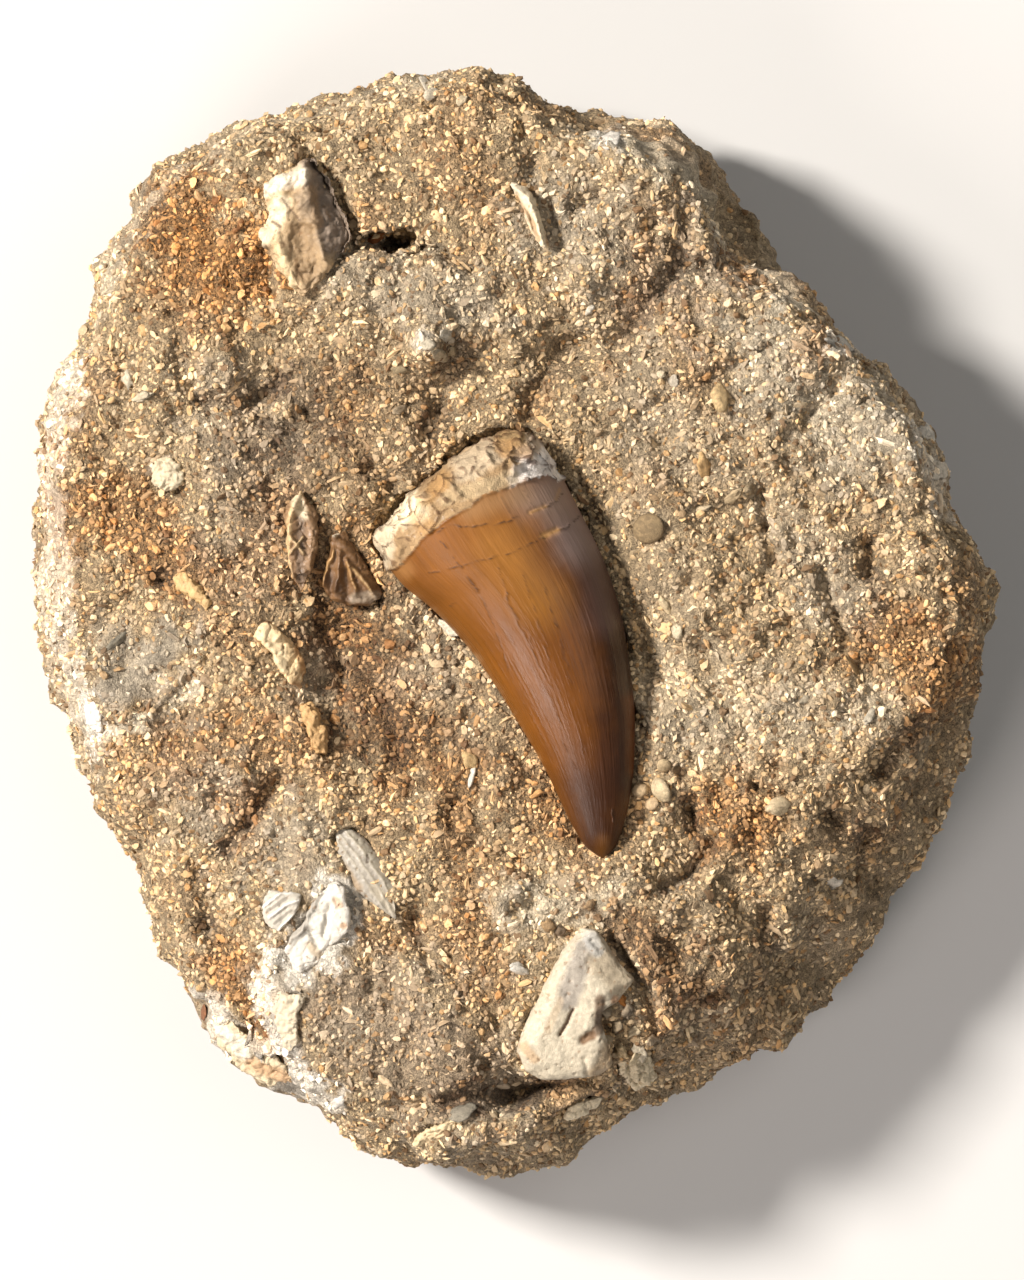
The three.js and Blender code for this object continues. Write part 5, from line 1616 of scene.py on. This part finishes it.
# each: its slot, mesh width, base colour, size and height of its lumps and of its facets,
# strokes (path, half width, lift) and stains (path, half width, colour, strength)
fragments = {
    "bone_wedge": {
        "slot": "cream_bone", "voxel": 0.16, "base": "d3c5ab", "lumps": (2.6, 0.16), "facets": (3.0, 0.03),
        "strokes": [
            ([(8.9, -34.8), (5.8, -40.3), (3.2, -45.4), (1.6, -48.7)], 1.6, 0.35),
            ([(8.2, -35.9), (7.1, -39.2), (6.4, -41.9)], 1.7, -0.5),
            ([(7.0, -42.9), (6.3, -44.5), (5.6, -45.7)], 0.22, -0.5),
            ([(8.2, -46.1), (9.1, -45.7)], 0.5, -0.5),
            ([(10.0, -37.0), (13.3, -40.8)], 1.6, -0.5),
            ([(10.5, -41.9), (12.4, -40.8)], 0.5, -0.5),
            ([(3.4, -41.0), (4.5, -41.6)], 0.25, -0.3),
            ([(1.0, -45.4), (2.1, -46.0)], 0.25, -0.3),
            ([(10.0, -50.2), (11.1, -46.9)], 0.9, -0.4),
            ([(8.3, -48.3), (8.7, -50.5)], 0.3, -0.3),
        ],
        "stains": [
            # painted shade: grey in the soft hollow down the wedge's middle
            ([(8.2, -36.4), (7.1, -39.5), (6.5, -41.9)], 1.4, "a0968a", 0.8),
            ([(10.0, -37.5), (12.7, -40.3)], 1.8, "b5a285", 0.7),
            ([(3.4, -41.9), (2.1, -46.3)], 1.1, "d9cab0", 0.7),
            ([(1.6, -46.9), (2.8, -48.3)], 0.6, "bf9058", 0.5),
            ([(5.6, -41.9), (4.3, -45.2)], 0.5, "c4a680", 0.4),
            ([(7.0, -42.9), (5.6, -45.7)], 0.2, "5a3a22", 0.9),
            ([(8.2, -46.2), (9.1, -45.7)], 0.6, "7a5530", 0.9),
            ([(8.9, -34.9), (9.6, -36.2)], 1.0, "c6c3bc", 0.7),
            ([(11.3, -47.4), (10.0, -50.2)], 1.5, "a98a62", 0.7),
            ([(10.0, -41.9), (9.8, -45.2)], 0.7, "6e5136", 0.8),
            ([(11.6, -41.9)], 0.6, "a8692c", 0.6),
        ],
    },
    "jaw_bone": {
        "slot": "cream_bone", "voxel": 0.16, "base": "d3b48a", "lumps": (1.4, 0.36), "facets": (1.0, 0.24),
        "strokes": [
            ([(-27.4, 47.5), (-24.9, 48.1), (-22.7, 48.9), (-22.6, 45.5)], 0.9, 1.0),
            ([(-25.2, 45.9), (-24.5, 44.3)], 1.1, 0.7),
            ([(-27.6, 43.2), (-26.7, 41.3)], 0.8, 0.6),
            ([(-25.6, 42.2), (-24.8, 39.3), (-23.8, 35.6)], 0.7, 0.7),
            ([(-22.8, 51.8), (-22.3, 49.4)], 0.6, 0.9),
            ([(-22.8, 42.2), (-22.1, 38.2)], 1.5, -1.0),
            ([(-27.0, 39.9), (-26.7, 37.1)], 0.8, -1.2),
            ([(-20.6, 49.6), (-18.9, 45.5), (-17.6, 41.7)], 2.3, -1.9),
            ([(-22.7, 51.6), (-22.0, 47.7), (-21.4, 43.7), (-20.4, 39.3)], 0.5, 0.6),
            ([(-20.6, 47.2), (-19.5, 42.2)], 0.3, 0.15),
            ([(-24.1, 43.2), (-21.0, 43.7)], 0.5, 0.5),
            ([(-26.3, 46.3), (-27.2, 45.0)], 0.5, -0.7),
        ],
        "stains": [
            # the slope facing away from the key lamp: grey that is partly the bone's own and partly painted
            # shade
            ([(-20.8, 49.4), (-20.1, 46.1), (-18.6, 41.7)], 2.7, "8a796a", 0.9),
            ([(-23.2, 46.6), (-22.5, 44.4)], 0.8, "a58d70", 0.8),
            ([(-22.8, 42.6), (-22.1, 37.8)], 1.8, "9c7f5a", 0.85),
            ([(-27.0, 40.4), (-26.7, 37.1)], 0.9, "5e452c", 0.9),
            ([(-27.4, 47.2), (-23.0, 48.7)], 1.2, "fbecd2", 0.9),
            ([(-25.0, 45.5), (-26.5, 42.2)], 1.3, "f6e2bf", 0.9),
            ([(-25.6, 41.7), (-23.7, 35.6)], 0.7, "efd3a4", 0.85),
            ([(-24.8, 41.0)], 0.4, "7d6040", 0.8),
            ([(-26.1, 43.7), (-25.1, 43.0)], 0.2, "6f5235", 0.8),
            ([(-23.4, 39.3), (-23.1, 37.7)], 0.3, "8a6a45", 0.7),
            ([(-21.7, 47.2), (-21.0, 43.3)], 0.6, "a9865c", 0.5),
            ([(-24.9, 46.1), (-23.0, 43.7)], 0.16, "6b5136", 0.8),
        ],
    },
    "rib_splinter": {
        "slot": "cream_bone", "voxel": 0.13, "base": "f2dfbd", "lumps": (1.4, 0.12), "facets": (1.2, 0.1),
        "strokes": [
            ([(-0.1, 47.8), (2.1, 46.3), (3.2, 43.3), (3.9, 41.0)], 0.35, 0.5),
            ([(0.8, 46.7), (2.3, 44.4), (3.0, 41.9)], 0.2, -0.4),
        ],
        "stains": [
            ([(-0.1, 47.8), (1.2, 47.2)], 0.6, "e9d9bd", 0.8),
            ([(0.8, 46.5), (2.5, 43.7), (3.2, 41.7)], 0.3, "a98052", 0.7),
            ([(4.3, 43.3), (4.6, 41.3)], 0.5, "b9793e", 0.6),
        ],
    },
    "brown_blade": {
        "slot": "brown_bone", "voxel": 0.13, "base": "987653", "lumps": (1.6, 0.2), "facets": (1.5, 0.25),
        "strokes": [
            (bladeRidge, 0.45, 0.7),
            ([(-22.3, 13.1), (-21.5, 9.8), (-21.7, 5.4)], 0.5, 0.35),
            ([(-23.0, 11.4), (-23.0, 3.7)], 0.5, -0.25),
            *[(path, 0.14, 0.6) for path in bladeTies],
        ],
        "stains": [
            (bladeRidge, 0.45, "e6c391", 0.9),
            ([(-23.4, 13.1), (-22.6, 11.5)], 0.8, "e9d6b2", 0.8),
            ([(-22.9, 10.9), (-22.9, 4.3)], 0.6, "6d5640", 0.8),
            *[(path, 0.15, "d9b98a", 0.8) for path in bladeTies],
        ],
    },
    "brown_shard": {
        "slot": "brown_bone", "voxel": 0.13, "base": "7d5934", "lumps": (1.6, 0.15), "facets": (2.4, 0.2),
        "strokes": [
            ([(-19.3, 7.6), (-20.1, 5.2), (-20.8, 3.2)], 0.3, 0.6),
            ([(-18.6, 7.4), (-18.8, 4.8), (-19.2, 3.0)], 0.25, 0.5),
            ([(-17.9, 6.5), (-17.3, 4.5), (-16.8, 2.7)], 0.25, 0.5),
            ([(-17.4, 5.8), (-15.7, 3.8), (-14.6, 2.3)], 0.3, 0.5),
            ([(-20.4, 9.8), (-19.3, 9.4)], 0.5, 0.4),
            ([(-19.7, 5.9), (-19.5, 3.0)], 0.4, -0.5),
            ([(-18.1, 5.2), (-17.8, 2.5)], 0.4, -0.5),
        ],
        "stains": [
            ([(-19.3, 7.4), (-20.1, 5.2), (-20.8, 3.4)], 0.2, "d2a468", 0.8),
            ([(-17.9, 6.3), (-17.3, 4.5), (-16.8, 3.0)], 0.15, "c79a60", 0.7),
            ([(-17.3, 5.6), (-15.7, 3.8), (-14.9, 2.5)], 0.18, "cfa870", 0.7),
            ([(-20.3, 9.8), (-19.3, 9.6)], 0.7, "ecdcc0", 0.9),
            ([(-17.0, 2.3), (-14.8, 2.4)], 0.8, "b9a78f", 0.7),
            ([(-19.7, 4.3), (-18.1, 2.3)], 0.7, "5f4227", 0.7),
        ],
    },
    "bone_knuckle_upper": {"slot": "cream_bone", "base": "d6b078", "lumps": (1.0, 0.3)},
    "bone_knuckle_middle": {
        "slot": "cream_bone", "voxel": 0.13, "base": "fbd9a4", "lumps": (1.6, 0.2), "facets": (1.6, 0.2),
        "strokes": [
            ([(-27.6, -1.0), (-26.3, -2.9), (-24.7, -6.7)], 0.9, 0.3),
            ([(-25.6, -2.3), (-25.0, -1.6)], 0.3, 0.3),
            ([(-24.1, -5.1), (-23.0, -3.6)], 0.2, -0.3),
            ([(-23.4, -6.9), (-22.3, -5.4)], 0.2, -0.3),
        ],
        "stains": [
            ([(-27.8, -0.7), (-26.1, -2.3), (-25.0, -5.1)], 1.1, "f4dcb0", 0.8),
            ([(-23.2, -3.4), (-22.2, -6.7)], 0.5, "b98246", 0.7),
            ([(-23.6, -7.4), (-22.5, -8.0)], 0.6, "a0622f", 0.6),
        ],
    },
    "bone_knuckle_lower": {"slot": "cream_bone", "base": "d3a870", "lumps": (1.1, 0.35)},
    "striped_shell": {
        "slot": "grey_shell", "voxel": 0.12, "base": "a69c8c", "lumps": (3.0, 0.1), "facets": (3.0, 0.03),
        "strokes": [
            (shellLines[0], 0.13, 0.12),
            (shellLines[1], 0.12, 0.1),
            (shellLines[2], 0.11, 0.08),
            ([(-15.6, -26.1), (-15.5, -26.6)], 0.2, -0.2),
        ],
        "stains": [
            ([(-18.1, -22.8), (-15.1, -26.1), (-12.9, -29.8), (-12.0, -31.8)], 0.5, "938975", 0.8),
            ([(-14.8, -29.6), (-12.4, -32.0)], 0.7, "b9ab92", 0.8),
            (shellLines[0], 0.13, "b5aa94", 0.8),
            (shellLines[1], 0.13, "aea38e", 0.8),
            (shellLines[2], 0.12, "a89d88", 0.7),
            ([(-18.4, -27.4), (-16.8, -29.6)], 0.8, "a98454", 0.5),
            ([(-15.6, -26.1), (-15.5, -26.7)], 0.2, "4a3a28", 0.8),
            ([(-19.6, -22.3), (-19.4, -24.3)], 0.6, "c9bda4", 0.7),
        ],
    },
    "chalky_shell": {
        "slot": "chalky_shell", "voxel": 0.13, "base": "e3dbcc", "lumps": (1.8, 0.2), "facets": (1.8, 0.18),
        "strokes": [
            (chalkEdge, 0.35, 0.5),
            ([(-18.6, -28.7), (-18.1, -34.2)], 0.8, 0.3),
            ([(-21.9, -34.2), (-21.0, -35.9)], 0.35, -0.5),
            ([(-19.7, -31.5), (-20.3, -34.8)], 0.3, -0.35),
        ],
        "stains": [
            (chalkEdge, 0.4, "9d9486", 0.7),
            ([(-18.1, -33.7)], 0.5, "c88f50", 0.6),
            ([(-19.0, -30.9), (-18.6, -31.5)], 0.4, "c88f50", 0.5),
            ([(-21.9, -35.9), (-20.8, -37.0)], 0.6, "c0a278", 0.6),
        ],
    },
    "shell_flake": {
        "slot": "chalky_shell", "voxel": 0.12, "base": "c9c0b0", "lumps": (1.4, 0.1), "facets": (1.4, 0.06),
        "strokes": [
            *[(path, 0.2, 0.35) for path in flakeLines],
        ],
        "stains": [
            *[(path, 0.22, "ece6da", 0.9) for path in flakeLines],
            ([(-26.5, -32.1), (-24.5, -30.7)], 0.2, "857c6e", 0.8),
            ([(-25.8, -33.5), (-23.9, -32.0)], 0.2, "857c6e", 0.8),
        ],
    },
    "shell_lip": {"slot": "chalky_shell", "base": "ddcdb0", "lumps": (1.1, 0.35)},
    "rim_bone": {
        "slot": "cream_bone", "base": "dcc8a4", "lumps": (1.4, 0.4), "facets": (1.4, 0.3),
        "stains": [
            ([(-32.4, -45.2), (-29.1, -48.0)], 1.0, "eadfca", 0.8),
            ([(-28.5, -49.1), (-24.7, -50.7)], 0.9, "b7793c", 0.5),
        ],
    },
    "crumbling_bone": {"slot": "cream_bone", "base": "f0dcb8", "lumps": (0.9, 0.6), "facets": (0.9, 0.6)},
    "low_splinter": {"slot": "cream_bone", "base": "f3dfbb", "lumps": (1.2, 0.15), "facets": (1.6, 0.3)},
    "edge_splinter": {"slot": "cream_bone", "base": "ecd2a6", "lumps": (0.9, 0.3), "facets": (0.9, 0.3)},
    "white_chip": {"slot": "chalky_shell", "base": "efe7da", "lumps": (1.0, 0.2), "facets": (1.2, 0.2)},
    "pale_knob": {"slot": "chalky_shell", "base": "dccbaa", "lumps": (0.9, 0.35), "facets": (0.9, 0.3)},
}


def fragmentSkin(points, settings, salt):
    # lumps, fine grain, pits and facets
    size, height = settings["lumps"]
    rise = height * (gradientNoise(points, size, salt) + 0.5 * gradientNoise(points, size * 0.45, salt + 1))
    rise += 0.06 * gradientNoise(points, 0.4, salt + 7)
    rise -= settings["pitDepth"] * smoothStep(gradientNoise(points, 0.5, salt + 8), 0.5, 0.7)
    size, height = settings["facets"]
    nearest, second, number = cellNoise(points, size, salt + 2)
    rise += height * (number - 0.5) - 0.5 * height * (1 - smoothStep(second - nearest, 0.0, 0.15))
    return rise


def fragmentTone(points, wander, settings, salt):
    tone = plainTone(points, settings["base"])
    tone = stained(tone, wander, settings["stains"], 0.18)
    tone *= uneven(points, ((0.1, 1.3, salt + 5), (0.08, 0.5, salt + 6)))
    speck = smoothStep(gradientNoise(points, 0.5, salt + 8), 0.5, 0.7)[:, None]
    tone = blended(tone, colour(settings["speckColour"]), speck * settings["speckShare"])
    return tone * settings["shade"]


def makeFragment(name, given, salt):
    settings = {**fragmentDefaults, **given}
    mesh = remeshed(weldedCopy(name), settings["voxel"], settings["smoothing"])
    points = meshPoints(mesh)
    normals = pointNormals(mesh)
    wander = wandered(points, 1.0, 0.12, salt + 3)
    upward = smoothStep(normals[:, 2], -0.1, 0.4)
    points += normals * fragmentSkin(points, settings, salt)[:, None]
    points[:, 2] += strokeRise(wander, settings["strokes"]) * upward
    setPoints(mesh, points)
    setTone(mesh, fragmentTone(points, wander, settings, salt))
    slotName = settings["slot"]
    addPiece(name + "_piece", mesh, fragmentFinishes[slotName], [name])


for at, (name, settings) in enumerate(fragments.items()):
    makeFragment(name, settings, 100 + 10 * at)
print("fragments made:", len(fragments))

# Single pebbles and chips that lie on the face

pebbleSettings = {
    "finish": (0.3, 0.6, 0.1, 0.14, 0.8),
    "shade": 0.68,
    "waver": 0.3,
    "lift": 0.3,
    # flat sides of each, how far out they lie, and how far in an uneven pebble's may lie
    "cuts": 9,
    "cutReach": 1.02,
    "cutDepth": 1.1,
    "firstSalt": 300,
    # place, half sizes, turn from X, colour and unevenness
    "pebbles": [
        ((14.4, -18.8), (1.0, 0.85, 0.8), 20, "d2b48a", 0.12),
        ((16.7, -18.8), (1.45, 0.95, 0.9), 120, "dcc49c", 0.12),
        ((17.0, -16.1), (0.8, 0.7, 0.7), 0, "d8bd92", 0.15),
        ((15.7, -20.3), (0.8, 0.7, 0.6), 40, "ceb088", 0.12),
        ((18.4, -16.6), (0.6, 0.5, 0.5), 0, "8a7150", 0.2),
        ((15.3, 9.9), (1.75, 1.65, 0.75), 20, "98805c", 0.03),
        ((23.2, 24.3), (0.95, 1.6, 0.8), 12, "d6b684", 0.25),
        ((21.3, 16.8), (0.8, 1.5, 0.7), 15, "dab27a", 0.3),
        ((18.0, 26.2), (0.7, 0.75, 0.5), 0, "cdbfa8", 0.45),
        ((16.7, 26.9), (0.5, 0.5, 0.5), 0, "dcc9a8", 0.3),
        ((-6.8, -1.0), (1.5, 0.5, 0.6), -38, "eadcc2", 0.3),
        ((17.1, 1.5), (0.6, 1.3, 0.6), 30, "e2caa0", 0.4),
        ((18.4, -1.4), (0.6, 1.0, 0.6), 10, "e6d3b0", 0.4),
        ((29.6, -20.6), (1.7, 0.9, 0.9), 10, "e0c8a0", 0.35),
        ((-9.3, 59.3), (0.5, 1.5, 0.5), 25, "eadcc4", 0.3),
        ((-8.6, 57.8), (0.9, 0.7, 0.5), 25, "e6d6ba", 0.3),
        ((-4.3, -15.5), (0.8, 1.1, 0.6), 25, "dcb982", 0.25),
        ((-4.1, -17.2), (0.35, 1.4, 0.4), -15, "eae0cf", 0.3),
        ((35.8, -29.4), (1.2, 0.8, 0.6), 10, "e8dcc8", 0.5),
        ((46.3, 20.8), (1.5, 1.0, 0.5), -40, "e6dccb", 0.5),
        ((47.8, 16.3), (0.9, 1.3, 0.5), 0, "ddd0ba", 0.5),
        ((39.1, 8.6), (0.3, 1.8, 0.4), -20, "a9865c", 0.3),
        ((37.8, -5.2), (0.3, 1.8, 0.4), 30, "b89668", 0.3),
        ((-33.9, -43.7), (0.35, 0.9, 0.5), 0, "8d5a34", 0.3),
        ((-41.9, 26.5), (0.8, 1.5, 0.6), 20, "d8c8ac", 0.5),
        ((-40.4, 24.6), (1.2, 0.7, 0.6), 10, "d3c2a4", 0.5),
        ((10.7, -43.2), (0.8, 0.6, 0.7), 20, "a8967a", 0.5),
        ((11.9, -44.7), (0.9, 0.7, 0.7), 60, "a08c6e", 0.5),
        ((10.7, -46.5), (0.7, 0.8, 0.6), 0, "b8a280", 0.5),
        ((13.1, -43.2), (0.7, 0.9, 0.6), 0, "94826a", 0.5),
        ((13.7, -45.4), (1.0, 0.5, 0.6), 40, "d3bd98", 0.5),
        ((12.4, -47.6), (1.2, 0.6, 0.7), -40, "d9bd90", 0.5),
        ((14.4, -47.6), (0.8, 1.1, 0.7), 10, "e6d5b8", 0.5),
        ((15.7, -46.3), (0.7, 0.6, 0.6), 30, "c0a888", 0.5),
        ((36.6, 30.5), (1.5, 0.8, 0.5), -20, "c9c1b2", 0.5),
        ((11.3, 52.9), (1.2, 0.9, 0.5), 30, "e9e0d2", 0.4),
        ((1.2, -38.6), (1.0, 0.5, 0.5), -15, "efe6d6", 0.3),
        ((4.3, -33.7), (0.8, 0.7, 0.6), 0, "b5946a", 0.3),
        ((8.9, -31.5), (0.7, 0.5, 0.5), 30, "a98a64", 0.3),
        ((5.6, -34.2), (0.6, 0.6, 0.5), 0, "7d6850", 0.3),
        ((-8.9, 30.1), (0.8, 0.7, 0.6), 0, "d6c8ae", 0.4),
        ((-6.9, 30.9), (0.9, 0.8, 0.6), 30, "dccfb8", 0.4),
        ((-7.5, 28.9), (0.7, 0.9, 0.6), 60, "cdbc9e", 0.4),
        ((-6.3, 29.4), (0.6, 0.6, 0.6), 0, "c2ae8c", 0.4),
        ((-14.8, 41.9), (1.0, 0.5, 0.5), 25, "a5642c", 0.4),
        ((-13.8, 41.0), (0.7, 0.4, 0.4), -10, "8f5326", 0.4),
        ((-12.0, 23.0), (0.9, 0.5, 0.5), 20, "b7a182", 0.3),
        ((-5.1, -54.2), (1.6, 0.8, 0.7), 25, "9c927f", 0.3),
        ((-18.8, -53.3), (0.9, 0.6, 0.5), 40, "ece4d6", 0.4),
        ((13.8, -48.5), (0.9, 0.7, 0.6), 50, "e2cba2", 0.5),
        ((15.1, -50.7), (1.2, 0.8, 0.7), 20, "e4c796", 0.5),
        ((16.6, -49.2), (0.7, 0.6, 0.6), 0, "d8a262", 0.5),
        ((12.2, -41.7), (0.9, 0.5, 0.5), -50, "b9762f", 0.4),
        ((26.3, 14.0), (1.1, 0.6, 0.5), 35, "b09a78", 0.4),
        ((20.9, 12.1), (1.5, 0.6, 0.5), 12, "c8b391", 0.5),
        ((24.6, 13.3), (1.3, 0.6, 0.5), 30, "cdb48c", 0.5),
        ((32.5, -8.9), (0.8, 0.5, 0.4), 20, "b7a88e", 0.3),
        ((39.7, -10.6), (1.2, 0.5, 0.4), 60, "cfc2aa", 0.3),
        ((-43.0, -2.3), (1.9, 0.5, 0.4), 45, "8f8673", 0.3),
        ((-12.0, 27.4), (0.9, 0.5, 0.4), 0, "a4906e", 0.3),
        ((8.9, 34.0), (0.7, 0.4, 0.4), 40, "e3d8c2", 0.3),
        ((-5.2, 57.1), (0.7, 0.5, 0.4), 40, "dcc8a4", 0.3),
        ((0.9, -38.1), (0.7, 0.4, 0.4), 0, "efe6d6", 0.3),
    ],
}


def groundAt(x, y):
    # height of the rock's surface seen from above, and its lean
    spot, normal, _, _ = ground.ray_cast(Vector((x, y, 60)) * mm, Vector((0, 0, -1)))
    return spot.z / mm, normal


def pebbleBall():
    work = bmesh.new()
    bmesh.ops.create_icosphere(work, subdivisions=3, radius=1.0)
    ball = np.array([tuple(vert.co) for vert in work.verts])
    faces = [[vert.index for vert in face.verts] for face in work.faces]
    work.free()
    return ball, faces


def cutBall(ball, roughness, salt, settings):
    # flat sides cut from the ball, then a rough skin
    generator = np.random.default_rng(salt)
    count, reach = settings["cuts"], settings["cutReach"]
    sides = generator.normal(size=(count, 3))
    sides /= np.linalg.norm(sides, axis=1)[:, None]
    nearest = reach - settings["cutDepth"] * roughness
    cuts = generator.uniform(nearest, reach, count) / np.maximum(ball @ sides.T, 0.05)
    skin = gradientNoise(ball, 0.9, salt) + 0.7 * gradientNoise(ball, 0.4, salt + 1)
    return ball * (np.minimum(cuts.min(axis=1), 1.0) * (1 + roughness * skin))[:, None]


def laidOnGround(shaped, place, turn, lift):
    # turned from X, then leaned with the rock under it
    angle = math.radians(turn)
    spun = shaped.copy()
    spun[:, 0] = shaped[:, 0] * math.cos(angle) - shaped[:, 1] * math.sin(angle)
    spun[:, 1] = shaped[:, 0] * math.sin(angle) + shaped[:, 1] * math.cos(angle)
    level, normal = groundAt(*place)
    steep = max(normal.z, 0.3)
    spun[:, 2] += -normal.x / steep * spun[:, 0] + -normal.y / steep * spun[:, 1]
    return spun + np.array([place[0], place[1], level + lift])


def makePebbles(settings):
    ball, ballFaces = pebbleBall()
    points, faces, tones = [], [], []
    for at, (place, halfSizes, turn, code, roughness) in enumerate(settings["pebbles"]):
        salt = settings["firstSalt"] + 3 * at
        shaped = cutBall(ball, roughness, salt, settings) * np.array(halfSizes)
        laid = laidOnGround(shaped, place, turn, settings["lift"] * halfSizes[2])
        tone = plainTone(laid, code) * settings["shade"]
        tones.append(tone * uneven(laid, ((settings["waver"], 0.5, salt),)))
        points.append(laid)
        faces += [[index + at * len(ball) for index in face] for face in ballFaces]
    mesh = bpy.data.meshes.new("pebbles")
    mesh.from_pydata((np.vstack(points) * mm).tolist(), [], faces)
    setTone(mesh, np.vstack(tones))
    material = mineralMaterial("pebbles", *settings["finish"])
    addPiece("pebbles_and_chips", mesh, material)


makePebbles(pebbleSettings)
print("pebbles laid")
